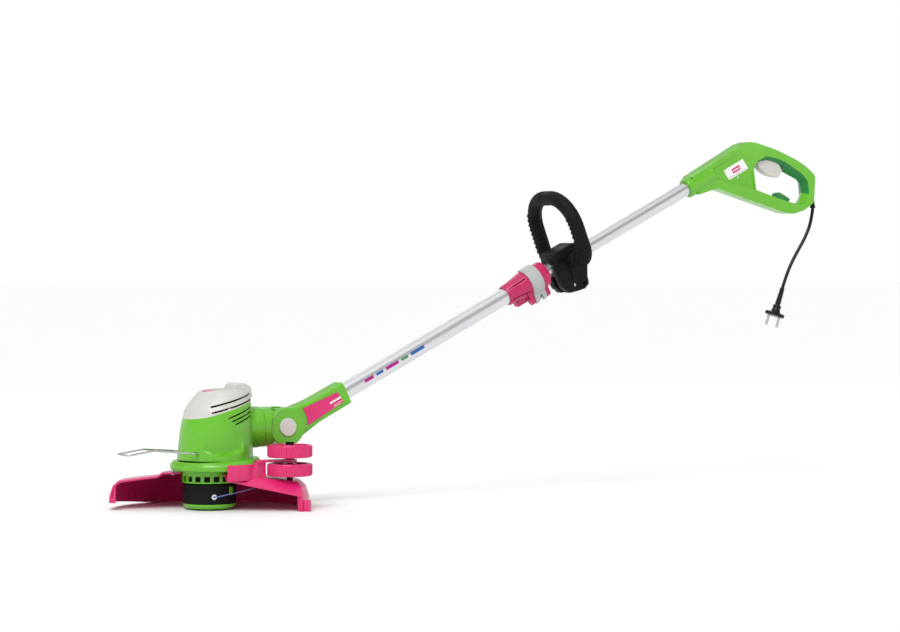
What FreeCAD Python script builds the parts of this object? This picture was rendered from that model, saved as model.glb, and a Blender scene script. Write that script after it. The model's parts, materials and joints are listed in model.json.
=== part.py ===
import FreeCAD, Part
import math
import os
import re

import Sketcher

# An electric string trimmer.  +X runs from the cutting head towards the rear handle, +Y is the
# operator's far side and +Z is up.  The origin is where the spool axis meets the ground.

SIZES = [
    ("shaft_tilt", 26.6, "shaft above the horizontal, degrees"),
    ("pivot_x", 125.0, "tilt pivot ahead of the spool axis"),
    ("pivot_z", 127.5, "tilt pivot above the ground"),
    ("tube_drop", 5.0, "shaft tube axis below the tilt pivot, square to the shaft"),
    ("lower_tube_radius", 14.0, "outer radius of the lower tube"),
    ("upper_tube_radius", 12.0, "outer radius of the upper tube"),
    ("tube_wall", 1.5, "wall of both tubes"),
    ("lower_tube_start", 100.0, "lower tube from the pivot"),
    ("lower_tube_end", 489.0, "top of the lower tube"),
    ("upper_tube_start", 250.0, "hidden foot of the upper tube"),
    ("upper_tube_end", 962.0, "top of the upper tube, in the handle"),
    ("slide_gap", 0.05, "radial clearance of running fits"),
    ("casing_wall", 2.5, "wall of moulded shells"),
    ("collar_start", 469.0, "foot of the pink tube collar"),
    ("collar_end", 553.0, "top of the pink tube collar"),
    ("collar_radius", 17.4, "collar at its foot"),
    ("collar_flare", 22.5, "collar at its top"),
    ("band_start", 512.0, "start of the lever band along the shaft"),
    ("band_width", 23.0, "width of the lever band"),
    ("band_thick", 3.0, "thickness of the lever band"),
    ("lever_pin_y", -10.0, "lever pin, sideways from the shaft axis"),
    ("lever_pin_drop", 31.0, "lever pin, below the shaft axis"),
    ("lever_pin_radius", 2.5, "lever pin"),
    ("saddle_start", 572.0, "start of the front grip's saddle"),
    ("saddle_end", 622.0, "end of the front grip's saddle"),
    ("saddle_half", 22.0, "half width of the saddle"),
    ("saddle_top", 26.0, "saddle above the tube axis"),
    ("saddle_foot", 49.0, "saddle below the tube axis"),
    ("loop_pivot_s", 606.0, "front grip's pivot along the shaft"),
    ("loop_radius", 12.5, "section of the front grip"),
    ("loop_half", 64.0, "half width of the front grip on its centre line"),
    ("loop_top", 110.0, "front grip above the tube axis on its centre line"),
    ("knob_s", 590.0, "clamp knob along the shaft"),
    ("knob_drop", 40.0, "clamp knob below the tube axis"),
    ("bolt_radius", 3.0, "cross bolts"),
    ("eyelet_s", 607.0, "strap eyelet along the shaft"),
    ("eyelet_drop", 45.0, "strap eyelet below the tube axis"),
    ("eyelet_radius", 2.5, "strap eyelet"),
    ("handle_start", 880.0, "socket of the rear handle"),
    ("grip_half", 15.0, "half thickness of the rear handle"),
    ("socket_radius", 17.5, "outer radius of the handle's socket"),
    ("boss_radius", 31.0, "round boss of the tilt joint"),
    ("boss_half", 27.0, "half width of the tilt joint"),
    ("tongue_half", 13.7, "half width of the knuckle's tongue"),
    ("arm_half", 17.0, "half width of the arm"),
    ("arm_end", 124.0, "end of the arm's socket along the shaft"),
    ("button_radius", 14.5, "tilt release button"),
    ("button_stand", 3.0, "button above its boss"),
    ("neck_radius", 33.0, "neck of the motor housing"),
    ("neck_end", 84.0, "turning joint of the neck"),
    ("housing_x", 10.0, "centre of the motor housing"),
    ("housing_foot", 79.0, "foot of the motor housing"),
    ("flange_radius", 70.0, "base flange"),
    ("flange_foot", 63.0, "underside of the base flange"),
    ("vent_radius", 43.0, "vent ring under the flange"),
    ("vent_foot", 43.0, "lower edge of the vent ring"),
    ("vent_count", 20, "openings round the vent ring"),
    ("drum_radius", 42.5, "line drum"),
    ("drum_foot", 10.0, "lower edge of the drum"),
    ("drum_top", 41.0, "top of the drum"),
    ("tap_radius", 30.0, "tap button under the drum"),
    ("motor_shaft_radius", 4.0, "motor shaft"),
    ("wheel_x", 103.0, "wheel axle"),
    ("wheel_y", -78.0, "wheel axle"),
    ("wheel_radius", 35.8, "edge wheels"),
    ("wheel_width", 19.5, "edge wheels"),
    ("low_wheel_foot", 54.2, "underside of the lower wheel"),
    ("high_wheel_foot", 83.4, "underside of the upper wheel"),
    ("axle_radius", 5.0, "wheel axle"),
    ("guard_radius", 159.0, "skirt of the guard"),
    ("wire_radius", 1.5, "plant guard wire"),
    ("wire_pivot_x", -39.0, "plant guard hinge"),
    ("wire_pivot_z", 91.0, "plant guard hinge"),
    ("cord_radius", 3.0, "supply cord"),
    ("plug_pin_radius", 2.4, "plug pins"),
    ("plug_pin_length", 19.0, "plug pins"),
    ("screw_radius", 2.0, "housing screws"),
]

V = FreeCAD.Vector
UPRIGHT = FreeCAD.Placement()
doc = FreeCAD.newDocument("StringTrimmer")
sheet = doc.addObject("Spreadsheet::Sheet", "Sizes")
nodes = []


def fill_sheet():
    for row, (alias, number, meaning) in enumerate(SIZES, start=1):
        sheet.set(f"A{row}", meaning)
        sheet.set(f"B{row}", str(number))
        sheet.setAlias(f"B{row}", alias)
    doc.recompute()


def cells(formula):
    """Turn plain size names in a formula into references to the sheet."""
    return re.sub(r"[a-z_]{3,}", lambda name: "Sizes." + name.group(), str(formula))


def value(formula):
    return float(sheet.evalExpression(cells(formula)))


def bind(thing, field, formula):
    thing.setExpression(field, cells(formula))


# ---- frames ----------------------------------------------------------------------------------

def turned_frame(origin, axis, degrees):
    return FreeCAD.Placement(origin, FreeCAD.Rotation(axis, degrees))


def along_x(x, y, z):
    """A frame at a point whose own Z runs along +X."""
    return turned_frame(V(x, y, z), V(0, 1, 0), 90)


def along_y(x, y, z):
    """A frame at a point whose own Z runs along +Y and whose own X stays X."""
    return turned_frame(V(x, y, z), V(1, 0, 0), -90)


fill_sheet()
TILT = math.radians(value("shaft_tilt"))
PIVOT = V(value("pivot_x"), 0, value("pivot_z"))
DROP = value("tube_drop")
SHAFT = turned_frame(PIVOT + V(DROP * math.sin(TILT), 0, -DROP * math.cos(TILT)),
                     V(0, 1, 0), -value("shaft_tilt"))


def on_shaft(frame):
    return SHAFT.multiply(frame)


# ---- sketches and features -------------------------------------------------------------------

def circle(x, y, radius):
    return ("circle", x, y, radius)


def box_outline(left, low, right, high):
    return [(left, low), (right, low), (right, high), (left, high)]


def new_body(label, frame=UPRIGHT):
    body = doc.addObject("PartDesign::Body", label)
    body.Label = label
    body.Placement = frame
    return body


def new_sketch(body, plane, lift="0", spin=0):
    sketch = body.newObject("Sketcher::SketchObject", body.Label + "_sketch")
    base = next(item for item in body.Origin.OriginFeatures if item.Role == plane + "_Plane")
    sketch.AttachmentSupport = (base, "")
    sketch.MapMode = "FlatFace"
    sketch.AttachmentOffset = FreeCAD.Placement(V(), FreeCAD.Rotation(V(0, 1, 0), spin))
    bind(sketch, "AttachmentOffset.Base.z", lift)
    return sketch


def arc_edge(start, end, radius):
    """The short arc from start to end: counter-clockwise when radius is positive."""
    chord = end - start
    height = math.sqrt(radius ** 2 - chord.Length ** 2 / 4)
    left = V(-chord.y, chord.x, 0).normalize()
    centre = (start + end) / 2 + left * math.copysign(height, radius)
    first, last = (start, end) if radius > 0 else (end, start)
    angles = [math.atan2(spot.y - centre.y, spot.x - centre.x) for spot in (first, last)]
    return Part.ArcOfCircle(Part.Circle(centre, V(0, 0, 1), abs(radius)), angles[0], angles[1])


def draw_circle(sketch, x, y, radius):
    edge = sketch.addGeometry(Part.Circle(V(value(x), value(y), 0), V(0, 0, 1), value(radius)))
    for kind, formula in (("DistanceX", x), ("DistanceY", y)):
        rule = sketch.addConstraint(Sketcher.Constraint(kind, -1, 1, edge, 3, value(formula)))
        bind(sketch, f"Constraints[{rule}]", formula)
    rule = sketch.addConstraint(Sketcher.Constraint("Radius", edge, value(radius)))
    bind(sketch, f"Constraints[{rule}]", radius)


def draw_outline(sketch, corners):
    """A closed outline. A corner (x, y, r) is reached by an arc of radius r."""
    spots = [V(value(corner[0]), value(corner[1]), 0) for corner in corners]
    first = sketch.GeometryCount
    count = len(corners)
    for place, corner in enumerate(corners):
        start, end = spots[place - 1], spots[place]
        arc = len(corner) == 3
        sketch.addGeometry(arc_edge(start, end, value(corner[2])) if arc else Part.LineSegment(start, end))
    clockwise = [len(corner) == 3 and value(corner[2]) < 0 for corner in corners]
    for place, corner in enumerate(corners):
        following = (place + 1) % count
        end_point = 1 if clockwise[place] else 2
        next_point = 2 if clockwise[following] else 1
        sketch.addConstraint(Sketcher.Constraint("Coincident", first + place, end_point,
                                                 first + following, next_point))
        for kind, formula in (("DistanceX", corner[0]), ("DistanceY", corner[1])):
            rule = sketch.addConstraint(Sketcher.Constraint(kind, -1, 1, first + place, end_point,
                                                            value(formula)))
            bind(sketch, f"Constraints[{rule}]", formula)
        if len(corner) == 3:
            sketch.addConstraint(Sketcher.Constraint("Radius", first + place, abs(value(corner[2]))))


def draw(sketch, figures):
    for figure in figures:
        if figure[0] == "circle":
            draw_circle(sketch, *figure[1:])
        else:
            draw_outline(sketch, figure)


def settle(body, feature, grows):
    """Recompute, then check that the feature added or removed material as it should."""
    before = settle.volumes.get(body.Label, 0.0)
    doc.recompute()
    after = body.Shape.Volume
    if (after > before) != grows:
        raise ValueError(f"{feature.Label} of {body.Label}: {before:.0f} to {after:.0f}")
    settle.volumes[body.Label] = after


settle.volumes = {}


def extrude(kind, body, plane, figures, length, lift="0", flip=False, both=False, spin=0):
    sketch = new_sketch(body, plane, lift, spin)
    draw(sketch, figures)
    feature = body.newObject("PartDesign::" + kind, f"{body.Label}_{kind}")
    feature.Profile = sketch
    bind(feature, "Length", length)
    feature.Reversed = flip
    feature.Midplane = both
    settle(body, feature, kind == "Pad")
    return feature


def pad(body, plane, figures, length, **options):
    return extrude("Pad", body, plane, figures, length, **options)


def pocket(body, plane, figures, length, **options):
    return extrude("Pocket", body, plane, figures, length, **options)


def revolve(kind, body, corners, degrees=360, spin=0):
    """Turn an outline of (radius, height) corners round the body's own Z."""
    sketch = new_sketch(body, "XZ", spin=spin)
    draw(sketch, [corners])
    feature = body.newObject("PartDesign::" + kind, f"{body.Label}_{kind}")
    feature.Profile = sketch
    feature.ReferenceAxis = (sketch, ["V_Axis"])
    feature.Angle = degrees
    settle(body, feature, kind == "Revolution")
    return feature


def turned(label, corners, frame=UPRIGHT):
    body = new_body(label, frame)
    revolve("Revolution", body, corners)
    return body


def ring(inner, outer, low, high):
    return [(inner, low), (outer, low), (outer, high), (inner, high)]


def repeat_round(body, feature, count, grows=False):
    pattern = body.newObject("PartDesign::PolarPattern", body.Label + "_pattern")
    pattern.Originals = [feature]
    axis = next(item for item in body.Origin.OriginFeatures if item.Role == "Z_Axis")
    pattern.Axis = (axis, [""])
    pattern.Angle = 360
    bind(pattern, "Occurrences", count)
    body.Tip = pattern
    settle(body, pattern, grows)


def round_edges(body, radius, chosen):
    """Fillet the edges of the last feature that chosen(edge) picks."""
    base = body.Tip
    names = [f"Edge{place}" for place, edge in enumerate(base.Shape.Edges, start=1) if chosen(edge)]
    fillet = body.newObject("PartDesign::Fillet", body.Label + "_fillet")
    fillet.Base = (base, names)
    fillet.Radius = radius
    doc.recompute()
    settle.volumes[body.Label] = body.Shape.Volume


def cylinder(name, radius, length, frame):
    solid = doc.addObject("Part::Cylinder", name)
    bind(solid, "Radius", radius)
    bind(solid, "Height", length)
    solid.Placement = frame
    return solid


def block(name, size_x, size_y, size_z, frame):
    solid = doc.addObject("Part::Box", name)
    bind(solid, "Length", size_x)
    bind(solid, "Width", size_y)
    bind(solid, "Height", size_z)
    solid.Placement = frame
    return solid


def group(label, members):
    """Several separate solids that share one node."""
    compound = doc.addObject("Part::Compound", label)
    compound.Label = label
    compound.Links = members
    return compound


def fused(label, members):
    joined = doc.addObject("Part::MultiFuse", label)
    joined.Label = label
    joined.Shapes = members
    return joined


def cut(label, base, tool):
    remains = doc.addObject("Part::Cut", label)
    remains.Label = label
    remains.Base = base
    remains.Tool = tool
    return remains


def feature_of(label, shape, frame=UPRIGHT):
    item = doc.addObject("Part::Feature", label)
    item.Label = label
    item.Shape = shape
    item.Placement = frame
    return item


def keep(*items):
    nodes.extend(items)


# ---- swept rods and cords --------------------------------------------------------------------

def route_wire(points, radii):
    """Straight runs through the points, joined by tangent arcs of the given radii."""
    edges = []
    here = points[0]
    for before, corner, after, radius in zip(points, points[1:], points[2:], radii):
        inward = (corner - before).normalize()
        outward = (after - corner).normalize()
        turn = inward.getAngle(outward)
        reach = radius * math.tan(turn / 2)
        start = corner - inward * reach
        end = corner + outward * reach
        bulge = (outward - inward).normalize() * radius * (1 / math.cos(turn / 2) - 1)
        edges.append(Part.LineSegment(here, start).toShape())
        edges.append(Part.Arc(start, corner + bulge, end).toShape())
        here = end
    edges.append(Part.LineSegment(here, points[-1]).toShape())
    return Part.Wire(edges)


def swept(points, radii, radius):
    path = route_wire(points, radii)
    start = points[0]
    heading = points[1] - points[0]
    section = Part.Wire([Part.Circle(start, heading, radius).toShape()])
    return path.makePipeShell([section], True, False)


def cord_radii(points):
    """Each arc is as large as its two runs allow."""
    radii = []
    for before, corner, after in zip(points, points[1:], points[2:]):
        turn = (corner - before).getAngle(after - corner)
        shorter = min(corner.distanceToPoint(before), after.distanceToPoint(corner))
        radii.append(0.45 * shorter / math.tan(turn / 2))
    return radii


def helix(radius, height, turns, wire):
    path = Part.makeHelix(height / turns, height, radius)
    section = Part.Wire([Part.Circle(V(radius, 0, 0), V(0, 1, 0), wire).toShape()])
    return Part.Wire(path.Edges).makePipeShell([section], True, True)


def world_to_shaft(x, z):
    """A point of the XZ plane in the shaft's own coordinates."""
    spot = SHAFT.inverse().multVec(V(x, 0, z))
    return spot.x, spot.z


# ---- rear handle -----------------------------------------------------------------------------

HANDLE_OUTLINE = [
    ("handle_start+12", -17), ("handle_start+12", 17), (1016, 21.5), (1041, 12, -34),
    (1108, -53, -420), (1134, -97, -160), (1110, -139), (1060, -137, -80), (1045, -127),
    (934, -26), (926, -23),
]
HAND_HOLE = [
    (1018, -28), (1006, -62), (1041, -94), (1074, -122), (1090, -131), (1103, -118), (1108, -100),
    (1102, -87), (1080, -62), (1066, -47), (1050, -33), (1034, -27),
]
GRIP_CAVITY = [
    (962, 17), (1014, 18), (1037, 9), (1104, -56), (1129, -97), (1113, -126), (1107, -117),
    (1112, -100), (1105, -84), (1083, -59), (1069, -44), (1052, -30), (1034, -23.5), (1015, -24.5),
    (1003, -60), (962, -24),
]
BAR_CAVITY = [(962, -47), (1000, -67), (1038, -99), (1070, -126), (1062, -133), (1048, -124)]
TRIGGER_SLOT = [(1029, -14), (1029, -38), (1060, -72), (1084, -64), (1084, -40), (1060, -14)]
TRIGGER = [(1034, -22), (1034, -33), (1058, -63, 60), (1064, -67), (1076, -60), (1074, -46), (1062, -30)]
CORD_HOOK = [(1044, -96.3), (1048, -90.5), (1056, -92.5), (1064, -103), (1071, -112.5), (1067, -115.9)]
HANDLE_SCREWS = [(980, -26), (1024, -12), (1090, -47), (1122, -97), (1082, -132)]
GLAND_TOP = (1187.3, 519.0)
GLAND_MOUTH = (1190.4, 486.3)
GLAND_STUB = (1176.0, 511.0)
STUB_HALF = 3.0


def stub_notch():
    left, low = GLAND_STUB
    corners = [(left, low), (left + 16, low), (left + 16, low + 2 * STUB_HALF), (left, low + 2 * STUB_HALF)]
    return [world_to_shaft(*corner) for corner in corners]


def handle_shell(label, far):
    """One moulded half of the D handle: near half below Y = 0, far half above it."""
    body = new_body(label, SHAFT)
    pad(body, "XZ", [HANDLE_OUTLINE], "grip_half", flip=far)
    pad(body, "YZ", [circle(0, 0, "socket_radius")], 62, lift="handle_start")
    pocket(body, "XZ", [box_outline(870, -60, 1000, 60)], 40, flip=far)
    pocket(body, "XZ", [HAND_HOLE], "grip_half+1", flip=not far)
    pocket(body, "XZ", [GRIP_CAVITY], "grip_half-casing_wall", flip=not far)
    pocket(body, "XZ", [BAR_CAVITY], "grip_half-casing_wall", flip=not far)
    pocket(body, "XZ", [TRIGGER_SLOT], 8.4, flip=not far)
    pocket(body, "XZ", [stub_notch()], STUB_HALF, flip=not far)
    pocket(body, "YZ", [circle(0, 0, "upper_tube_radius")], "upper_tube_end-handle_start",
           lift="handle_start", flip=True)
    for s, n in HANDLE_SCREWS:
        depth = "grip_half+1" if far else "grip_half-1.5"
        pocket(body, "XZ", [circle(s, n, "screw_radius")], depth, flip=not far)
    return body


def rear_handle():
    left = handle_shell("handle_left", False)
    right = handle_shell("handle_right", True)
    screws = [cylinder("handle_screw", "screw_radius", "2*grip_half-2.5",
                       on_shaft(along_y(s, -value("grip_half") + 1.5, n))) for s, n in HANDLE_SCREWS]
    keep(left, right, group("handle_screws", screws))
    switch = new_body("switch_body", SHAFT)
    pad(switch, "XZ", [box_outline(972, -12, 1002, 12)], 18, both=True)
    hook = new_body("cord_hook", SHAFT)
    pad(hook, "XZ", [CORD_HOOK], 12, both=True)
    trigger = new_body("trigger", SHAFT)
    pad(trigger, "XZ", [TRIGGER], 16, both=True)
    keep(switch, hook, trigger)
    seat = SHAFT.multVec(V(1055, 0, -24))
    spring = helix(2.6, 10, 5, 0.4)
    keep(feature_of("trigger_spring", spring, FreeCAD.Placement(seat, FreeCAD.Rotation())))


def shaft_tubes():
    upper = new_body("upper_tube", SHAFT)
    pad(upper, "YZ", [circle(0, 0, "upper_tube_radius"), circle(0, 0, "upper_tube_radius-tube_wall")],
        "upper_tube_end-upper_tube_start", lift="upper_tube_start")
    lower = new_body("lower_tube", SHAFT)
    pad(lower, "YZ", [circle(0, 0, "lower_tube_radius"), circle(0, 0, "lower_tube_radius-tube_wall")],
        "lower_tube_end-lower_tube_start", lift="lower_tube_start")
    bush = new_body("guide_bush", SHAFT)
    pad(bush, "YZ", [circle(0, 0, "lower_tube_radius-tube_wall-slide_gap"),
                     circle(0, 0, "upper_tube_radius-tube_wall")], 12, lift="upper_tube_start-12")
    lead = new_body("shaft_lead", SHAFT)
    pad(lead, "YZ", [circle(0, 0, 3.2)], 646, lift=326)
    coil = new_body("coiled_lead", SHAFT)
    pad(coil, "YZ", [circle(0, 0, 7)], 252, lift=60)
    keep(upper, lower, bush, lead, coil)


# ---- supply cord -----------------------------------------------------------------------------

CORD_ROUTE = [
    V(1190.4, 0, 486.3), V(1187.2, 0, 461.2), V(1172.7, 0, 431.3), V(1150.6, 0, 400.0),
    V(1133.4, 0, 369.8), V(1123.7, 0, 343.2),
]
PLUG_WIDE_TURN = 30.0
PLUG_FLANGE = [
    (17.6, 3.5), (8, 10, 14), (-8, 10), (-17.6, 3.5, 14), (-17.6, -3.5), (-8, -10, 14), (8, -10),
    (17.6, -3.5, 14),
]


def plug_frame():
    """At the cord's end, own Z along the cord, own X along the line of the pins."""
    heading = (CORD_ROUTE[-1] - CORD_ROUTE[-2]).normalize()
    swing = math.radians(PLUG_WIDE_TURN)
    across = V(-heading.z, 0, heading.x).normalize()
    wide = across * math.cos(swing) + V(0, -1, 0) * math.sin(swing)
    turn = FreeCAD.Rotation(wide, heading.cross(wide), heading, "ZXY")
    return FreeCAD.Placement(CORD_ROUTE[-1], turn)


def supply_cord():
    top = V(GLAND_TOP[0], 0, GLAND_TOP[1])
    mouth = V(GLAND_MOUTH[0], 0, GLAND_MOUTH[1])
    length = (mouth - top).Length
    frame = FreeCAD.Placement(top, FreeCAD.Rotation(V(0, 0, 1), mouth - top))
    sleeve = turned("gland_sleeve", [(0, 0), (2.6, 0), (3.9, length - 3), (5.2, length - 2.4),
                                     (5.2, length), (0, length)], frame)
    stub = block("gland_stub", 12, 2 * STUB_HALF, 2 * STUB_HALF,
                 turned_frame(V(GLAND_STUB[0], -STUB_HALF, GLAND_STUB[1]), V(0, 0, 1), 0))
    keep(fused("cord_gland", [sleeve, stub]))
    radii = cord_radii(CORD_ROUTE)
    radius = value("cord_radius")
    cord = swept(CORD_ROUTE, radii, radius)
    span = route_wire(CORD_ROUTE, radii).Length
    print("cord arcs", [round(r) for r in radii], "length", round(span, 1),
          "volume ratio", round(cord.Volume / (math.pi * radius ** 2 * span), 4))
    keep(feature_of("power_cord", cord))
    frame = plug_frame()
    barrel = turned("plug_barrel", [(0, 0), (3.6, 0), (4.8, 33), (7.6, 33.5), (7.6, 37), (7.0, 37.2),
                                    (9.5, 48), (0, 48)], frame)
    flange = new_body("plug_flange", frame)
    pad(flange, "XY", [PLUG_FLANGE], 5.5, lift=47)
    keep(fused("plug_body", [barrel, flange]))
    pins = [cylinder("plug_pin", "plug_pin_radius", "plug_pin_length",
                     frame.multiply(FreeCAD.Placement(V(side * 9.5, 0, 52.5), FreeCAD.Rotation())))
            for side in (-1, 1)]
    keep(group("plug_pins", pins))


# ---- front grip ------------------------------------------------------------------------------

SADDLE_SIDE = [
    ("saddle_start", "saddle_top"), ("saddle_end", "saddle_top"), ("saddle_end+6", 12),
    ("saddle_end+6", -20), (619, -38), (615, -51), (605, -54), (590, -51), (576, "-saddle_foot"),
    ("saddle_start-4", -34), ("saddle_start-4", 10),
]
TRUNNION_END = 37.0


def front_grip():
    saddle = new_body("clamp_saddle", SHAFT)
    pad(saddle, "XZ", [SADDLE_SIDE], "2*saddle_half", both=True)
    pocket(saddle, "YZ", [circle(0, 0, "upper_tube_radius+slide_gap")], 200, lift=500, flip=True)
    pocket(saddle, "XZ", [[(560, -60), (636, -60), (636, -14), (560, -14)]], 12, both=True)
    pocket(saddle, "XZ", [circle("knob_s", "-knob_drop", "bolt_radius")], 80, both=True)
    pocket(saddle, "XZ", [circle("eyelet_s", "-eyelet_drop", "eyelet_radius")], 80, both=True)
    pad(saddle, "XZ", [circle("loop_pivot_s", 0, 8)], TRUNNION_END - 22, lift="saddle_half")
    pad(saddle, "XZ", [circle("loop_pivot_s", 0, 8)], TRUNNION_END - 22, lift="-saddle_half",
        flip=True)
    keep(saddle)
    bolt_y = -value("saddle_half") + 2
    keep(cylinder("clamp_bolt", "bolt_radius-0.05", 56,
                  on_shaft(along_y(value("knob_s"), bolt_y, -value("knob_drop")))))
    knob_frame = on_shaft(along_y(value("knob_s"), value("saddle_half") + 0.3, -value("knob_drop")))
    knob = new_body("clamp_knob", knob_frame)
    star = [(13 * math.cos(math.radians(60 * i)), 13 * math.sin(math.radians(60 * i))) for i in range(6)]
    pad(knob, "XY", [star], 16)
    pocket(knob, "XY", [circle(0, 0, "bolt_radius")], 20, flip=True)
    keep(knob)
    keep(loop_grip())
    caps = [cylinder("loop_screw", 9, 3, on_shaft(along_y(value("loop_pivot_s"), y, 0)))
            for y in (-TRUNNION_END - 3, TRUNNION_END)]
    keep(group("loop_screws", caps))


def loop_grip():
    """A rounded loop across the shaft, with an eye on each trunnion."""
    s = value("loop_pivot_s")
    half = value("loop_half")
    top = value("loop_top")
    radius = value("loop_radius")
    lean = 12.0
    eye = 30.0
    corners = [(s, -eye, 0), (s, -half, -4), (s + lean * 0.9, -half, top), (s + lean, half, top),
               (s, half, -4), (s, eye, 0)]
    bend = half - 10
    limb = swept([V(*corner) for corner in corners], [20, bend, bend, 20], radius)
    across = V(0, 1, 0)
    eyes = [Part.makeCylinder(15, 14, V(s, y, 0), across) for y in (-36.5, 22.5)]
    bore = Part.makeCylinder(8.05, 120, V(s, -60, 0), across)
    inside = Part.makeBox(60, 44.6, 60, V(s - 30, -22.3, -30))
    screw_seats = [Part.makeCylinder(9.5, 9, V(s, y, 0), across) for y in (-45.5, 36.5)]
    loop = limb.fuse(eyes).cut([bore, inside] + screw_seats)
    return feature_of("loop_grip", loop.removeSplitter(), SHAFT)


# ---- tube collar and its lever ---------------------------------------------------------------

def polar(radius, degrees):
    return radius * math.cos(math.radians(degrees)), radius * math.sin(math.radians(degrees))


def tube_collar():
    frame = on_shaft(along_x(value("collar_start"), 0, 0))
    tube_end = value("lower_tube_end") - value("collar_start")
    length = value("collar_end") - value("collar_start")
    collar = new_body("collar_clamp", frame)
    revolve("Revolution", collar, [
        ("lower_tube_radius", 0), ("collar_radius", 0), (18.6, 18), ("collar_flare", 42),
        ("collar_flare", 66), ("collar_flare", 78), ("collar_flare-1.5", length),
        ("upper_tube_radius+0.3", length), ("upper_tube_radius+0.3", tube_end),
        ("lower_tube_radius", tube_end)])
    pin_x, pin_y = value("lever_pin_drop"), value("lever_pin_y")
    lug = [(16, -15), (pin_x, pin_y - 6), (pin_x + 5.5, pin_y), (pin_x, pin_y + 6), (20, 8)]
    pad(collar, "XY", [lug], 8, lift=34)
    pad(collar, "XY", [lug], 8, lift=67)
    pad(collar, "XY", [[(15, -9), (27, -7), (27, 7), (15, 9)]], 20, lift=12)
    pocket(collar, "XY", [circle("lever_pin_drop", "lever_pin_y", "lever_pin_radius")], 60, lift=30,
           flip=True)
    lever = new_body("collar_lever", on_shaft(along_x(value("band_start"), 0, 0)))
    inner = value("collar_flare") + 0.4
    outer = inner + value("band_thick")
    band = [(*polar(inner, 166), -inner), polar(outer, 166), (*polar(outer, 250), outer),
            (*polar(outer, 328), outer), polar(inner, 328), (*polar(inner, 250), -inner)]
    pad(lever, "XY", [band], "band_width")
    pad(lever, "XY", [[(17.6, -16.8), (pin_x, pin_y - 6.2), (pin_x + 6, pin_y), (pin_x, pin_y + 6.2),
                       (22, -8.6)]], "band_width")
    pocket(lever, "XY", [circle("lever_pin_drop", "lever_pin_y", "lever_pin_radius+slide_gap")],
           "band_width+2", lift=-1, flip=True)
    window = [(17, -30), (60, -30), (60, 4), (26, 4), (26, -13)]
    pocket(lever, "XY", [window], 8, lift=8, flip=True)
    pin = cylinder("lever_pin", "lever_pin_radius", 40,
                   frame.multiply(FreeCAD.Placement(V(pin_x, pin_y, 35), FreeCAD.Rotation())))
    keep(collar, lever, pin)


# ---- tilting arm -----------------------------------------------------------------------------

ARM_OUTLINE = [
    (0, "tube_drop-boss_radius"), (30, -23), (60, -19), ("arm_end", -18.5), ("arm_end", 19),
    (60, 20), (30, 24), (0, "tube_drop+boss_radius"),
]
ARM_CAVITY = [(38, -15), (60, -14), (100, -14), (100, 15), (60, 15.5), (38, 18)]
ARM_SCREWS = [(44, 12), (44, -10), (90, 11)]
PANEL = [(37, -12.5, -42), (111, -8.8), (108, 10), (40.5, 16)]


def arm_shell(label, far):
    """One moulded half of the arm, split along Y = 0."""
    body = new_body(label, SHAFT)
    side = -1 if far else 1
    pad(body, "XZ", [ARM_OUTLINE], "arm_half", flip=far)
    flat = value("arm_half")
    round_edges(body, 5, lambda edge: abs(abs(edge.BoundBox.Center.y) - flat) < 0.01
                and edge.BoundBox.XLength > 20)
    pad(body, "XZ", [circle(0, "tube_drop", "boss_radius")], "boss_half-14", lift=14 * side, flip=far)
    pocket(body, "XZ", [circle(0, "tube_drop", 29.7)], 14, flip=not far)
    pocket(body, "XZ", [ARM_CAVITY], "arm_half-casing_wall", flip=not far)
    pocket(body, "YZ", [circle(0, 0, "lower_tube_radius")], 40, lift="lower_tube_start", flip=True)
    pocket(body, "XZ", [circle(0, "tube_drop", 5)], 24.5, flip=not far)
    for s, n in ARM_SCREWS:
        pocket(body, "XZ", [circle(s, n, "screw_radius")], 16, flip=not far)
    if not far:
        pocket(body, "XZ", [circle(0, "tube_drop", "button_radius+0.1")], 20, lift=15, flip=True)
    rim = value("boss_half")
    round_edges(body, 2, lambda edge: abs(abs(edge.BoundBox.Center.y) - rim) < 0.01
                and edge.BoundBox.XLength > 50)
    return body


def tilting_arm():
    keep(arm_shell("arm_left", False), arm_shell("arm_right", True))
    panels = []
    for name, far in (("arm_panel_left", False), ("arm_panel_right", True)):
        panel = new_body(name, SHAFT)
        lift = "-arm_half" if far else "arm_half"
        pad(panel, "XZ", [PANEL], 1.2, lift=lift, flip=far)
        panels.append(panel)
    keep(group("arm_panels", panels))
    screws = [cylinder("arm_screw", "screw_radius", 32, on_shaft(along_y(s, -16, n)))
              for s, n in ARM_SCREWS]
    keep(group("arm_screws", screws))
    pivot = on_shaft(along_y(0, 0, value("tube_drop")))
    pin_frame = pivot.multiply(FreeCAD.Placement(V(0, 0, -14.9), FreeCAD.Rotation()))
    keep(cylinder("tilt_pin", 5, 39, pin_frame))
    button_frame = pivot.multiply(FreeCAD.Placement(V(0, 0, -value("boss_half") - value("button_stand")),
                                                    FreeCAD.Rotation()))
    button = new_body("tilt_button", button_frame)
    pad(button, "XY", [circle(0, 0, "button_radius")], 10)
    round_edges(button, 1.5, lambda edge: abs(edge.BoundBox.ZMax) < 0.01 and edge.BoundBox.XLength > 20)
    keep(button)


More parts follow.
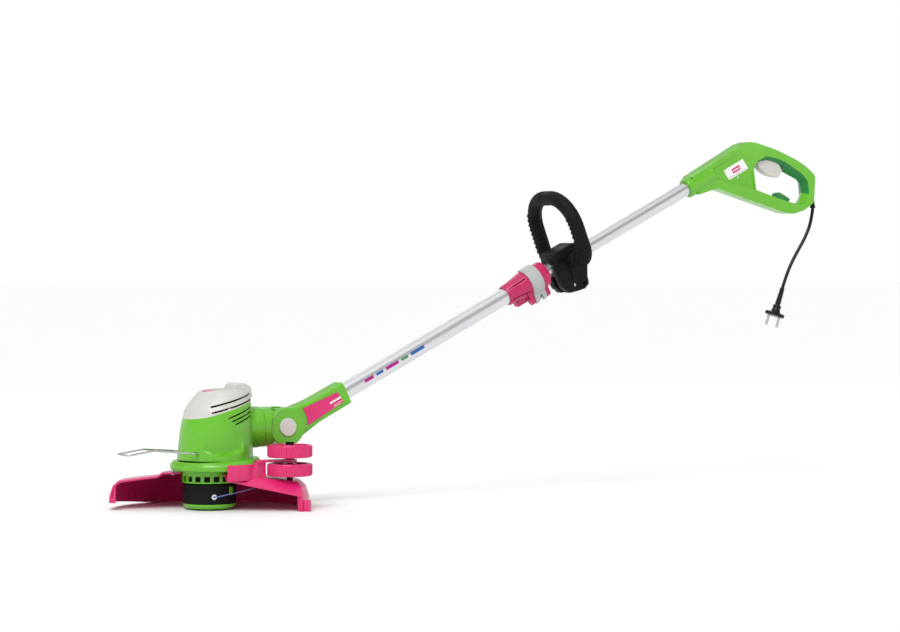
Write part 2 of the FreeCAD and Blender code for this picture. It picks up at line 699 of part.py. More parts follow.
def knuckle():
    body = new_body("knuckle", FreeCAD.Placement(PIVOT, FreeCAD.Rotation()))
    pad(body, "YZ", [circle(0, 0, "neck_radius-1")], 18, lift="neck_end+0.3-pivot_x")
    pocket(body, "XZ", [circle(0, 0, "boss_radius+0.6")], 40, lift=13.9, flip=True)
    pocket(body, "XZ", [circle(0, 0, "boss_radius+0.6")], 40, lift=-13.9)
    pad(body, "XZ", [circle(0, 0, 29)], "2*tongue_half", both=True)
    pad(body, "YZ", [circle(0, 0, 20)], 16, lift="neck_end+0.3-16-pivot_x")
    pad(body, "YZ", [circle(0, 0, 23.5)], 4, lift="neck_end+0.3-16-4-pivot_x")
    pocket(body, "YZ", [circle(0, 0, 9)], 40, lift="neck_end-21-pivot_x", flip=True)
    pocket(body, "XZ", [circle(0, 0, "5+slide_gap")], 40, both=True)
    keep(body)


# ---- motor housing ---------------------------------------------------------------------------

def shell_profile(outer, wall):
    """A thin closed band under an outer (radius, height) line that ends on the axis."""
    inner = [(radius - wall if radius > wall else 0, height - (wall if radius < 45 else 0))
             for radius, height in outer]
    return outer + inner[::-1]


HOUSING_LINE = [(60, 79), (59.5, 112), (58, 147), (50, 167), (38, 183.5), (30, 188), (0, 188)]
PARTING = [(-90, 145), (-48, 146), (-30, 155), (-4, 164), (60, 176), (90, 181)]
HUMP = [(18, 187.5), (20, 198), (42, 199), (50, 190), (51.5, 163.5), (46, 168), (37, 183.2), (28, 187.2)]


def motor_housing():
    frame = FreeCAD.Placement(V(value("housing_x"), 0, 0), FreeCAD.Rotation())
    housing = new_body("motor_housing", frame)
    revolve("Revolution", housing, shell_profile(HOUSING_LINE, value("casing_wall")))
    pocket(housing, "XZ", [PARTING + [(90, 260), (-90, 260)]], 200, both=True)
    pocket(housing, "XZ", [HUMP], 40, both=True)
    neck = "neck_end-housing_x"
    pad(housing, "YZ", [circle(0, "pivot_z", "neck_radius")], 24, lift=neck + "-24")
    pocket(housing, "YZ", [circle(0, "pivot_z", 24)], 30, lift=neck + "-12-30", flip=True)
    pocket(housing, "YZ", [circle(0, "pivot_z", 20.3)], 30, lift=neck + "-20", flip=True)
    pocket(housing, "XZ", [circle("wire_pivot_x-housing_x", "wire_pivot_z", "wire_radius+slide_gap")],
           120, both=True)
    cover = new_body("top_cover", frame)
    revolve("Revolution", cover, shell_profile(HOUSING_LINE, value("casing_wall")))
    pocket(cover, "XZ", [PARTING + [(90, 20), (-90, 20)]], 200, both=True)
    pad(cover, "XZ", [HUMP], 40, both=True)
    keep(housing, cover)


def base_ring():
    ring_body = new_body("base_ring")
    centre = circle("housing_x", 0, "flange_radius")
    pad(ring_body, "XY", [centre], "housing_foot-flange_foot", lift="flange_foot")
    top = value("housing_foot")
    base = ring_body.Tip
    names = [f"Edge{place}" for place, edge in enumerate(base.Shape.Edges, start=1)
             if abs(edge.BoundBox.ZMin - top) < 0.01]
    slope = ring_body.newObject("PartDesign::Chamfer", "base_ring_slope")
    slope.Base = (base, names)
    slope.Size = 7
    settle(ring_body, slope, False)
    pocket(ring_body, "XY", [circle("housing_x", 0, 55)], 11, lift="housing_foot")
    revolve("Revolution", ring_body, ring("vent_radius-3", "vent_radius", "vent_foot", "flange_foot+1"))
    vent = pocket(ring_body, "YZ", [box_outline(-4.3, 45.5, 4.3, 52)], 20, lift=30, flip=True)
    repeat_round(ring_body, vent, "vent_count")
    pad(ring_body, "XY", [circle(0, 0, 15)], 8, lift=56)
    pocket(ring_body, "XY", [circle(0, 0, 11)], 40, lift=75)
    keep(ring_body)


# ---- guard, wheels and plant guard -----------------------------------------------------------

GUARD_TOP = [(157.5, 22), (152.5, 38), (144, 45.5), (112, 49.5), (82, 52.5), (75, 58)]
NEAR_EDGE_START = V(4.5, -66, 50)
NEAR_EDGE_END = V(102, -117, 27)
APRON_RISE = 1.0


def near_edge_frame(rise):
    """At the guard's near edge, own X along it and own Y up the slope behind it."""
    along = NEAR_EDGE_END - NEAR_EDGE_START
    inward = V(-along.y, along.x, 0).normalize()
    slope = inward + V(0, 0, rise) if rise else V(0, 0, 1)
    facing = along.cross(slope)
    return FreeCAD.Rotation(along, facing.cross(along), facing, "ZXY")


def hood(label, top, low, wall):
    """The hood's solid outline, cut off along its near edge and under its apron."""
    body = new_body(label)
    inner = 44.5 - 0.5 * (wall > 0)
    line = [(radius - wall, height - wall * (height > 30)) for radius, height in top]
    corners = [(inner, low), (value("guard_radius") - wall, low)] + line + [(inner, line[-1][1])]
    revolve("Revolution", body, corners, degrees=250, spin=-90)
    solid = body
    for name, rise, drop in (("front", 0, 0), ("apron", APRON_RISE, wall)):
        turn = near_edge_frame(rise)
        corner = NEAR_EDGE_START + turn.multVec(V(-150, -200, -drop))
        cutter = block(f"{label}_{name}_cutter", 500, 500, 150, FreeCAD.Placement(corner, turn))
        solid = cut(f"{label}_{name}", solid, cutter)
    return solid


def guard():
    outside = hood("hood_outside", GUARD_TOP, 0, 0)
    inside = hood("hood_inside", GUARD_TOP, -1, value("casing_wall"))
    shell = cut("hood_shell", outside, inside)
    rise = FreeCAD.Rotation(V(0, 1, 0), 5.8)
    lift = block("hood_lift", 200, 400, 60, FreeCAD.Placement(V(-190, -200, -44), rise))
    lifted = cut("hood_lifted", shell, lift)
    wall = new_body("guard_wall", FreeCAD.Placement(V(value("housing_x"), 0, 0), FreeCAD.Rotation()))
    revolve("Revolution", wall, ring("flange_radius+0.3", "flange_radius+3.3", 51, 74),
            degrees=43, spin=-100)
    bead = new_body("guard_bead")
    revolve("Revolution", bead, [(150, 0), (158.8, 0), (157.2, 22), (150, 33)], degrees=3, spin=-46.5)
    tab = block("guard_tab", 13, 12, 18, turned_frame(V(*polar(157.2, -47), 0), V(0, 0, 1), -44))
    keep(fused("guard", [lifted, wall, bead, tab]))
    screws = [cylinder("guard_screw", 2.5, 18, turned_frame(V(*polar(58, angle), 54), V(0, 0, 1), 0))
              for angle in (-20, 50, 110, 150)]
    keep(group("guard_screws", screws))
    blade = block("line_cutter", 26, 7, 1.6, turned_frame(V(*polar(149.5, 106), 2.2), V(0, 0, 1), 11))
    keep(blade)


def wheel(label, foot):
    rim = value("wheel_radius")
    width = value("wheel_width")
    frame = FreeCAD.Placement(V(value("wheel_x"), value("wheel_y"), value(foot)), FreeCAD.Rotation())
    bore = value("axle_radius") + value("slide_gap")
    return turned(label, [(bore, 0.5), (11, 0.5), (11, 5), (rim - 6, 5), (rim - 6, 0), (rim - 1, 0),
                          (rim, 1), (rim, width - 1), (rim - 1, width), (rim - 6, width),
                          (rim - 6, width - 4), (11, width - 4), (11, width), (bore, width)], frame)


def edge_wheels():
    keep(wheel("wheel_lower", "low_wheel_foot"), wheel("wheel_upper", "high_wheel_foot"))
    x, y = value("wheel_x"), value("wheel_y")
    plate_foot = 76.0
    plate = new_body("bracket_plate")
    pad(plate, "XY", [[(47, -73), (72, -73), (100, -91), (113, -83), (112, -71), (68, -61), (47, -64)]],
        4, lift=plate_foot)
    web = block("bracket_web", 16, 6, 31, turned_frame(V(49, -70, 48.5), V(0, 0, 1), 0))
    gusset = new_body("bracket_gusset")
    pad(gusset, "XZ", [[(30, 47), (50, 49), (50, 79.9), (47, 79.9)]], 4, lift=69.5)
    eye = cylinder("bracket_eye", 9, 5.6, FreeCAD.Placement(V(x, y, 75), FreeCAD.Rotation()))
    solid = fused("bracket_blank", [plate, web, gusset, eye])
    hole = cylinder("bracket_hole", "axle_radius", 40, FreeCAD.Placement(V(x, y, 60), FreeCAD.Rotation()))
    keep(cut("wheel_bracket", solid, hole))
    keep(turned("wheel_axle", [(0, 44), (5, 44), (5, 103.2), (6.5, 103.2), (6.5, 107.5), (0, 107.5)],
                FreeCAD.Placement(V(x, y, 0), FreeCAD.Rotation())))


def wire_guard():
    x, z = value("wire_pivot_x"), value("wire_pivot_z")
    side = [(x, 29, z), (x, 43, z), (-105, 20.5, 97), (-148.6, 20.5, 90.8)]
    points = [V(px, -py, pz) for px, py, pz in side] + [V(*corner) for corner in reversed(side)]
    keep(feature_of("wire_guard", swept(points, [4, 8, 5, 5, 8, 4], value("wire_radius"))))


# ---- motor, line drum and tap button ---------------------------------------------------------

def motor():
    keep(turned("stator", ring(25, 40, 98, 138)))
    coils = [turned(f"field_coil_{place}", ring(27, 33.5, low, low + 5.5))
             for place, low in enumerate((92.4, 138.1))]
    keep(group("field_coils", coils))
    bar = block("bridge_bar", 28, 78, 4, FreeCAD.Placement(V(-14, -39, 157), FreeCAD.Rotation()))
    legs = [block("bridge_leg", 12, 5, 19, FreeCAD.Placement(V(-6, y, 138), FreeCAD.Rotation()))
            for y in (-39, 34)]
    hub = cylinder("bridge_hub", 15, 10, FreeCAD.Placement(V(0, 0, 157), FreeCAD.Rotation()))
    blank = fused("bridge_blank", [bar, hub] + legs)
    seat = cylinder("bridge_seat", 11, 40, FreeCAD.Placement(V(0, 0, 140), FreeCAD.Rotation()))
    keep(cut("motor_bridge", blank, seat))
    keep(turned("bearing_top", ring("motor_shaft_radius+slide_gap", 11, 158, 165)))
    keep(turned("bearing_bottom", ring("motor_shaft_radius+slide_gap", 11, 58, 65)))
    brushes = [block("brush", 12, 8, 6, FreeCAD.Placement(V(x, -4, 147), FreeCAD.Rotation()))
               for x in (-24.3, 12.3)]
    keep(group("brushes", brushes))
    keep(cylinder("motor_lead", 3, 52, along_x(49, 0, value("pivot_z"))))


def cutting_head():
    keep(turned("rotor_shaft", [(0, 30), ("motor_shaft_radius", 30), ("motor_shaft_radius", 170), (0, 170)]))
    keep(turned("armature", ring("motor_shaft_radius", 24, 96, 140)))
    keep(turned("commutator", ring("motor_shaft_radius", 12, 144, 156)))
    fan = new_body("cooling_fan")
    revolve("Revolution", fan, [("motor_shaft_radius", 80), (38, 80), (38, 82), (9, 82), (9, 91),
                                ("motor_shaft_radius", 91)])
    blade = pad(fan, "XY", [box_outline(8, -0.8, 36, 0.8)], 9, lift=81.5)
    repeat_round(fan, blade, 9, grows=True)
    keep(fan)
    keep(turned("line_drum", [("motor_shaft_radius", 31), (9, 31), (9, 38), (40, 38), (40, "drum_foot"),
                              ("drum_radius", "drum_foot"), ("drum_radius", "drum_top"),
                              ("motor_shaft_radius", "drum_top")]))
    keep(turned("line_spool", [(9.5, 17), (34, 17), (34, 19), (14, 19), (14, 34), (34, 34), (34, 36),
                               (9.5, 36)]))
    keep(turned("spool_cover", [("tap_radius+0.4", 2.5), (36, 2.5), (42, 7.5), (42, "drum_foot"),
                                ("tap_radius+0.4", "drum_foot")]))
    button = turned("tap_button", [(0, 0), (22, 0), ("tap_radius", 4.5), ("tap_radius", 12), (27.5, 12),
                                   (27.5, 6), (0, 6)])
    spring = feature_of("tap_spring", helix(11, 9.0, 3, 0.7),
                        FreeCAD.Placement(V(0, 0, 6.8), FreeCAD.Rotation()))
    keep(button, spring)
    outlet = math.radians(-105.3)
    out = V(math.cos(outlet), math.sin(outlet), 0)
    level = V(0, 0, 22.3)
    eyelet = turned("line_eyelet", ring(1.6, 4.2, 0, 4.4),
                    FreeCAD.Placement(out * 40.2 + level, FreeCAD.Rotation(V(0, 0, 1), out)))
    keep(eyelet)
    route = [out * 36 + level, out * 49.5 + level, V(20, -48, 27.5), V(57.4, -44.7, 34)]
    keep(feature_of("cutting_line", swept(route, [3, 60], 0.8)))


def check_and_write():
    doc.recompute()
    for item in doc.Objects:
        if "Invalid" in item.State or "Error" in item.State:
            raise RuntimeError(f"{item.Label}: {item.State}")
    for node in nodes:
        if node.Shape.isNull() or not node.Shape.isValid():
            raise RuntimeError(f"{node.Label} has no valid shape")
    os.makedirs("parts", exist_ok=True)
    for node in nodes:
        node.Shape.exportStep(f"parts/{node.Label}.step")
    print(len(nodes), "nodes written")


rear_handle()
shaft_tubes()
supply_cord()
front_grip()
tube_collar()
tilting_arm()
knuckle()
motor_housing()
base_ring()
guard()
edge_wheels()
wire_guard()
motor()
cutting_head()
check_and_write()
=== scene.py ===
# %% [markdown]
# # An electric string trimmer
# The trimmer's working model already exists: every moving body and every solid part of it is loaded below as a
# fixed frame.  The cells after that dress it.  Parts whose shape is right keep it and get a better finish.
# Parts that need softer edges, ribs, slots or a hang of their own are made here and stand for the plain solid.

# %% Load the frame and keep its box
import json
import math

import bmesh
import bpy
from mathutils import Matrix, Vector

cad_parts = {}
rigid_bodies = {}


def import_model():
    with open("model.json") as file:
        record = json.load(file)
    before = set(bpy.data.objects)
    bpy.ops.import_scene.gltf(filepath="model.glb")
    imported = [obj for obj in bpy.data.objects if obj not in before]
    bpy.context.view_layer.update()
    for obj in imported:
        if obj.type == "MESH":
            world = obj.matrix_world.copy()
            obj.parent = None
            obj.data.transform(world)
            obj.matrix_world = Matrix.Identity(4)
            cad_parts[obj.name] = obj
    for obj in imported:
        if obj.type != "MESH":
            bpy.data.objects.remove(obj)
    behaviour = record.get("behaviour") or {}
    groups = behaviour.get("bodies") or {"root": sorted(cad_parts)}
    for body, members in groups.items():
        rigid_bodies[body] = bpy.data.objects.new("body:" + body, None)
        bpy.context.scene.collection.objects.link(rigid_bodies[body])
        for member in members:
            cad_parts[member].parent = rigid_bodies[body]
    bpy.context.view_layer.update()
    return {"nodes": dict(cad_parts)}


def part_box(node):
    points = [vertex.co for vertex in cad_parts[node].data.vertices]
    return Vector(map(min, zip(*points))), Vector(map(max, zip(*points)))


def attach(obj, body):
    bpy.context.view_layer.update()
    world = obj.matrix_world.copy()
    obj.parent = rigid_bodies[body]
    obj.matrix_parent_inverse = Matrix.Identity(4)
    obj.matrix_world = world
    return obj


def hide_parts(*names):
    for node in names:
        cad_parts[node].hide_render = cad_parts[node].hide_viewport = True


for item in list(bpy.data.objects):
    bpy.data.objects.remove(item)

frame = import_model()
nodes = frame["nodes"]

# %% [markdown]
# Drawing in millimetres is easier than in metres, and most parts sit on a sloping shaft.  So each shape is drawn
# flat in its own millimetre space and one matrix takes it to its place.  Object transforms would do the same,
# but a finished piece has to sit at the origin with its place in its mesh, so the matrix is applied to the mesh.

# %% Places: the world and the sloping shaft, in millimetres
MILLI = Matrix.Scale(0.001, 4)
TILT = math.radians(26.6)
PIVOT = Vector((125.0, 0.0, 127.5))
TUBE_DROP = 5.0
WORLD = MILLI
SHAFT = (MILLI @ Matrix.Translation(PIVOT + Vector((TUBE_DROP * math.sin(TILT), 0, -TUBE_DROP * math.cos(TILT))))
         @ Matrix.Rotation(-TILT, 4, "Y"))


def moved(x=0.0, y=0.0, z=0.0):
    return Matrix.Translation((x, y, z))


def turned(degrees, axis):
    return Matrix.Rotation(math.radians(degrees), 4, axis)


print("the shaft starts at", [round(v, 4) for v in SHAFT.to_translation()])

# %% [markdown]
# ## Camera and light
# The trimmer is seen from its left side, a little from the front and almost level, through a long lens.  A plain
# white floor and wide soft lamps leave only a shadow under the guard, as in a catalogue.

# %% Camera
CAMERA_PLACE = Vector((-1.8748, -4.0087, 0.4018))
CAMERA_TURN = math.radians(30)
CAMERA_PITCH = math.radians(-1.25)
lens = bpy.data.cameras.new("camera")
lens.lens = 111.6
lens.sensor_width = 36
camera = bpy.data.objects.new("camera", lens)
camera.location = CAMERA_PLACE
looking = Vector((math.sin(CAMERA_TURN) * math.cos(CAMERA_PITCH), math.cos(CAMERA_TURN) * math.cos(CAMERA_PITCH),
                  math.sin(CAMERA_PITCH)))
camera.rotation_euler = looking.to_track_quat("-Z", "Y").to_euler()
bpy.context.scene.collection.objects.link(camera)
bpy.context.scene.camera = camera

# %% Lights and floor
world = bpy.data.worlds.new("studio")
bpy.context.scene.world = world
world.use_nodes = True
sky = world.node_tree.nodes["Background"]
direction = world.node_tree.nodes.new("ShaderNodeTexCoord")
height = world.node_tree.nodes.new("ShaderNodeSeparateXYZ")
shades = world.node_tree.nodes.new("ShaderNodeValToRGB")
world.node_tree.links.new(direction.outputs["Generated"], height.inputs["Vector"])
world.node_tree.links.new(height.outputs["Z"], shades.inputs["Fac"])
world.node_tree.links.new(shades.outputs["Color"], sky.inputs["Color"])
for place, shade in ((0.13, 1.0), (0.30, 0.38), (0.70, 0.42), (1.0, 0.75)):
    stop = shades.color_ramp.elements.new(place)
    stop.color = (shade, shade, shade, 1)
shades.color_ramp.elements.remove(shades.color_ramp.elements[-1])
shades.color_ramp.elements[0].color = (1, 1, 1, 1)
bpy.context.scene.view_settings.view_transform = "Standard"


def lamp(name, place, aim, size, watts):
    light = bpy.data.lights.new(name, "AREA")
    light.shape = "RECTANGLE"
    light.size, light.size_y = size
    light.energy = watts
    holder = bpy.data.objects.new(name, light)
    holder.location = place
    holder.rotation_euler = (Vector(aim) - Vector(place)).to_track_quat("-Z", "Y").to_euler()
    bpy.context.scene.collection.objects.link(holder)


lamp("fill", (2.8, -2.2, 1.6), (0.6, 0, 0.3), (1.6, 1.6), 5)
lamp("rim", (0.6, 2.4, 2.2), (0.5, 0, 0.2), (2.4, 0.8), 10)
sun = bpy.data.lights.new("key", "SUN")
sun.energy = 2.1
sun.angle = math.radians(35)
sun_holder = bpy.data.objects.new("key", sun)
sun_holder.rotation_euler = Vector((0.75, 0.75, -1.1)).to_track_quat("-Z", "Y").to_euler()
bpy.context.scene.collection.objects.link(sun_holder)


# %% [markdown]
# ## Finishes
# Moulded plastic is never one flat colour: the pigment drifts a little, the shine changes where hands have rubbed
# it, and the tool that moulded it left a fine grain.  Each finish below mixes those three from noise in object
# space, so that they stay put in every view.  One function makes all the plastics; metal and print differ.

# %% Finish helpers
finishes = {}


class Finish:
    """A material under construction: short calls to add nodes and join them."""

    def __init__(self, name, colour, rough, **uniform):
        self.material = bpy.data.materials.new(name)
        self.material.use_nodes = True
        self.tree = self.material.node_tree
        self.shader = self.tree.nodes["Principled BSDF"]
        self.shader.inputs["Base Color"].default_value = (*colour, 1)
        self.shader.inputs["Roughness"].default_value = rough
        for socket, amount in uniform.items():
            self.shader.inputs[socket.replace("_", " ")].default_value = amount
        self.material.diffuse_color = (*colour, 1)
        finishes[name] = self.material

    def node(self, kind, **settings):
        made = self.tree.nodes.new(kind)
        for key, amount in settings.items():
            if key in made.inputs:
                made.inputs[key].default_value = amount
            else:
                setattr(made, key, amount)
        return made

    def join(self, source, target, out=0):
        self.tree.links.new(source.outputs[out], target)

    def place(self, rotate=(0, 0, 0), stretch=(1, 1, 1), shift=(0, 0, 0)):
        """Object coordinates, turned and stretched."""
        where = self.node("ShaderNodeTexCoord")
        mapping = self.node("ShaderNodeMapping", vector_type="TEXTURE", Location=shift, Rotation=rotate,
                            Scale=tuple(1 / share for share in stretch))
        self.join(where, mapping.inputs["Vector"], "Object")
        return mapping

    def noise(self, scale, detail=3.0, place=None, rough=0.5):
        made = self.node("ShaderNodeTexNoise", Scale=scale, Detail=detail, Roughness=rough)
        self.join(place or self.place(), made.inputs["Vector"])
        return made

    def ranged(self, source, low, high, out=0):
        made = self.node("ShaderNodeMapRange")
        made.inputs["From Min"].default_value = 0.3
        made.inputs["From Max"].default_value = 0.7
        made.inputs["To Min"].default_value = low
        made.inputs["To Max"].default_value = high
        self.join(source, made.inputs["Value"], out)
        return made

    def mixed(self, factor, first, second, blend="MIX"):
        """A colour mix.  first and second are colours or nodes, factor is a number or a node."""
        made = self.node("ShaderNodeMix", data_type="RGBA", blend_type=blend)
        sockets = [s for s in made.inputs if s.enabled]
        for socket, thing in zip(sockets, (factor, first, second)):
            if hasattr(thing, "outputs"):
                colour_out = [s for s in thing.outputs if s.enabled][0]
                self.tree.links.new(colour_out, socket)
            else:
                socket.default_value = (*thing, 1) if isinstance(thing, tuple) else thing
        return made

    def colour(self, source):
        out = [s for s in source.outputs if s.enabled][0]
        self.tree.links.new(out, self.shader.inputs["Base Color"])

    def bump(self, source, strength, depth, out=0):
        made = self.node("ShaderNodeBump", Strength=strength, Distance=depth)
        self.join(source, made.inputs["Height"], out)
        self.join(made, self.shader.inputs["Normal"])
        return made


def darker(colour, share):
    return tuple(channel * share for channel in colour)


def plastic(name, colour, rough=0.35, grain=1100.0, bump=0.05, drift=0.08, **uniform):
    """Moulded plastic: drifting pigment, uneven shine, fine moulded grain."""
    made = Finish(name, colour, rough, **uniform)
    drifting = made.ranged(made.noise(14.0, 4.0), 0.0, 1.0)
    made.colour(made.mixed(drifting, darker(colour, 1 - drift), tuple(min(1.0, c * (1 + drift / 2)) for c in colour)))
    made.join(made.ranged(made.noise(55.0, 5.0), rough * 0.82, rough * 1.22), made.shader.inputs["Roughness"])
    made.bump(made.noise(grain, 2.0), bump, 0.0001)
    return made.material


# %% The plastics and rubbers
LIME = (0.120, 0.440, 0.016)
PINK = (0.640, 0.016, 0.145)
plastic("lime_plastic", LIME, 0.30, Coat_Weight=0.12)
# The deep green is the cord hook's own colour; on the back walls of the handle's finger hole it is partly a darker
# grip moulding and partly painted shade.
plastic("deep_green_plastic_and_painted_shade", (0.010, 0.200, 0.040), 0.42, bump=0.2)
plastic("pink_plastic", PINK, 0.32, Coat_Weight=0.1)
plastic("collar_pink_plastic", (0.480, 0.010, 0.095), 0.34)
plastic("silver_plastic", (0.560, 0.545, 0.515), 0.36, drift=0.04)
plastic("grey_plastic", (0.400, 0.415, 0.415), 0.38, drift=0.05)
plastic("black_plastic", (0.006, 0.006, 0.006), 0.48, grain=900, bump=0.25, Specular_IOR_Level=0.12)
plastic("black_rubber", (0.007, 0.007, 0.007), 0.60, grain=1100, bump=0.3, Specular_IOR_Level=0.12)
plastic("shiny_black_plastic", (0.006, 0.006, 0.006), 0.25, bump=0.05, Specular_IOR_Level=0.25)
plastic("red_coil", (0.42, 0.16, 0.06), 0.4, grain=2200, bump=0.5)
print(len(finishes), "plastic finishes")

# %% [markdown]
# Drawn tube shines in long streaks along its length.  Noise stretched forty times along the shaft gives those
# streaks, both in the shine and as a very shallow relief.

# %% The metals
def metal(name, colour, rough, streak=(1, 1, 1), rotate=(0, 0, 0), strength=0.12, fineness=900.0):
    made = Finish(name, colour, rough, Metallic=1.0)
    along = made.place(rotate=rotate, stretch=streak)
    streaks = made.noise(fineness, 3.0, along)
    made.join(made.ranged(streaks, rough * 0.9, rough * 1.15), made.shader.inputs["Roughness"])
    made.colour(made.mixed(made.ranged(streaks, 0, 1), darker(colour, 0.93), colour))
    made.bump(streaks, strength, 0.00005)
    return made


ALONG_SHAFT = (0, -TILT, 0)
metal("steel", (0.55, 0.55, 0.56), 0.28)
metal("polished_steel", (0.70, 0.70, 0.71), 0.15)
metal("laminated_steel", (0.30, 0.30, 0.32), 0.45, streak=(1, 1, 14))
metal("copper_wire", (0.75, 0.33, 0.14), 0.32, streak=(1, 1, 10), strength=0.4)
metal("satin_tube", (0.70, 0.71, 0.73), 0.27, streak=(0.025, 1, 1), rotate=ALONG_SHAFT, strength=0.02,
      fineness=160.0)
line_finish = Finish("nylon_line", (0.22, 0.30, 0.72), 0.25, Transmission_Weight=0.25)
line_finish.join(line_finish.ranged(line_finish.noise(600.0), 0.2, 0.35), line_finish.shader.inputs["Roughness"])

badge = Finish("badge_print", (0.62, 0.01, 0.12), 0.3)
badge.join(badge.ranged(badge.noise(90.0), 0.25, 0.4), badge.shader.inputs["Roughness"])

# %% [markdown]
# Three parts are printed.  The label on the handle is white with a pink frame and a dark line, the arm's panel has
# a pale stripe, and the lower tube has a row of coloured dashes.  Each print is a mask made from straight limits
# in object space, so it needs no image and says nothing.

# %% The prints
SHAFT_PLACE = SHAFT.to_translation()


def printed(name, ground, rough, marks, **uniform):
    """A finish with marks on it: each mark is (s from, s to, n from, n to, colour) on the shaft's side."""
    made = Finish(name, ground, rough, **uniform)
    where = made.place()
    along, up = (SHAFT.to_3x3().col[0], SHAFT.to_3x3().col[2])
    parts = []
    for axis in (along.normalized(), up.normalized()):
        dot = made.node("ShaderNodeVectorMath", operation="DOT_PRODUCT")
        dot.inputs[1].default_value = axis
        made.join(where, dot.inputs[0])
        start = made.node("ShaderNodeMath", operation="SUBTRACT")
        start.inputs[1].default_value = SHAFT_PLACE.dot(axis)
        made.join(dot, start.inputs[0], "Value")
        parts.append(start)
    last = made.mixed(made.ranged(made.noise(40.0), 0.0, 1.0), darker(ground, 0.97), ground)
    for s_from, s_to, n_from, n_to, colour in marks:
        limits = []
        for source, low, high in ((parts[0], s_from, s_to), (parts[1], n_from, n_to)):
            near = made.node("ShaderNodeMath", operation="COMPARE")
            near.inputs[1].default_value = (low + high) / 2000
            near.inputs[2].default_value = (high - low) / 2000
            made.join(source, near.inputs[0])
            limits.append(near)
        both = made.node("ShaderNodeMath", operation="MULTIPLY")
        made.join(limits[0], both.inputs[0])
        made.join(limits[1], both.inputs[1])
        last = made.mixed(both, last, colour)
    made.colour(last)
    made.bump(made.noise(900.0, 2.0), 0.03, 0.00005)
    return made


WHITE, INK, PALE = (0.80, 0.80, 0.78), (0.05, 0.05, 0.055), (0.80, 0.60, 0.66)
printed("label_print", WHITE, 0.4, [(974, 992, -16.5, -7.5, (0.62, 0.02, 0.16)), (976, 990, -13.0, -11.0, WHITE),
                                    (964, 1002, -20.5, -19.8, INK)])
printed("panel_print", PINK, 0.32, [(88, 112, -1.2, 1.8, WHITE), (92, 112, -6.4, -5.4, PALE),
                                    (92, 106, -9.0, -8.2, PALE)])
TUBE = (0.70, 0.71, 0.73)
printed("tube_print", TUBE, 0.30, [
    (162, 180, -2, 3.5, (0.50, 0.03, 0.30)), (186, 200, -1.5, 3, (0.05, 0.16, 0.50)),
    (206, 232, -2, 3.5, (0.50, 0.03, 0.30)), (238, 252, -1.5, 3, (0.10, 0.35, 0.12)),
    (258, 286, -2, 3.5, (0.05, 0.16, 0.50))], Metallic=0.9)
print(len(finishes), "finishes in all")

# %% Put a finish on every solid of the frame
NODE_FINISH = {
    "lime_plastic": "handle_left handle_right arm_left arm_right knuckle motor_housing base_ring spool_cover",
    "deep_green_plastic_and_painted_shade": "cord_hook",
    "pink_plastic": "guard wheel_lower wheel_upper wheel_bracket clamp_knob",
    "panel_print": "arm_panels",
    "collar_pink_plastic": "collar_clamp",
    "silver_plastic": "top_cover tilt_button trigger",
    "grey_plastic": "collar_lever",
    "black_plastic": "clamp_saddle loop_screws switch_body guide_bush line_drum line_spool tap_button cooling_fan "
                     "motor_bridge brushes wheel_axle plug_body",
    "black_rubber": "loop_grip shaft_lead coiled_lead motor_lead cord_gland power_cord",
    "steel": "handle_screws trigger_spring clamp_bolt lever_pin arm_screws tilt_pin guard_screws line_cutter "
             "wire_guard bearing_top bearing_bottom rotor_shaft tap_spring plug_pins",
    "polished_steel": "line_eyelet",
    "laminated_steel": "stator armature",
    "copper_wire": "field_coils commutator",
    "satin_tube": "upper_tube",
    "tube_print": "lower_tube",
    "nylon_line": "cutting_line",
}


def refinish(node, name):
    mesh = nodes[node].data
    mesh.materials.clear()
    mesh.materials.append(finishes[name])


for name, wearers in NODE_FINISH.items():
    for node in wearers.split():
        refinish(node, name)
print(sum(len(w.split()) for w in NODE_FINISH.values()), "solids finished")

# %% [markdown]
# ## The supply cord
# The trimmer has only a short tail of cord that hangs from the foot of the rear handle to its plug.  It is a
# smooth NURBS curve through a handful of points, stiff enough to keep a slight bend of its own.

# %% Cord
CORD_ROUTE = [(1.1904, 0, 0.4863), (1.1872, 0, 0.4612), (1.1727, 0, 0.4313), (1.1506, 0, 0.4000),
              (1.1334, 0, 0.3698), (1.1237, 0, 0.3432)]
CORD_RADIUS = 0.003
cord_curve = bpy.data.curves.new("supply_cord", "CURVE")
cord_curve.dimensions = "3D"
spline = cord_curve.splines.new("NURBS")
spline.points.add(len(CORD_ROUTE) - 1)
for point, place in zip(spline.points, CORD_ROUTE):
    point.co = (*place, 1)
spline.order_u = 3
spline.use_endpoint_u = True
spline.resolution_u = 16
cord_curve.bevel_depth = CORD_RADIUS
cord_curve.bevel_resolution = 6
cord_curve.use_fill_caps = True
cord_curve.materials.append(finishes["shiny_black_plastic"])
cord = bpy.data.objects.new("supply_cord", cord_curve)
bpy.context.scene.collection.objects.link(cord)


def cord_length():
    run = cord_curve.copy()
    run.bevel_depth = 0
    holder = bpy.data.objects.new("measure", run)
    mesh = bpy.data.meshes.new_from_object(holder)
    span = sum((mesh.vertices[a].co - mesh.vertices[b].co).length for a, b in (e.vertices for e in mesh.edges))
    bpy.data.objects.remove(holder)
    return span


CORD_LENGTH = cord_length()
print("cord length", round(CORD_LENGTH, 4))
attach(cord, "upper_shaft")
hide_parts("power_cord")

# %% [markdown]
# ## Tools for the shapes
# Three shapes cover most of a moulded machine: a slab with rounded edges, a body turned round an axis, and a
# turned body whose profile changes as it goes round.  The last two are one function, because a plain turning is
# only a profile that doesn't change.  Slots and openings are then cut with the Boolean modifier.

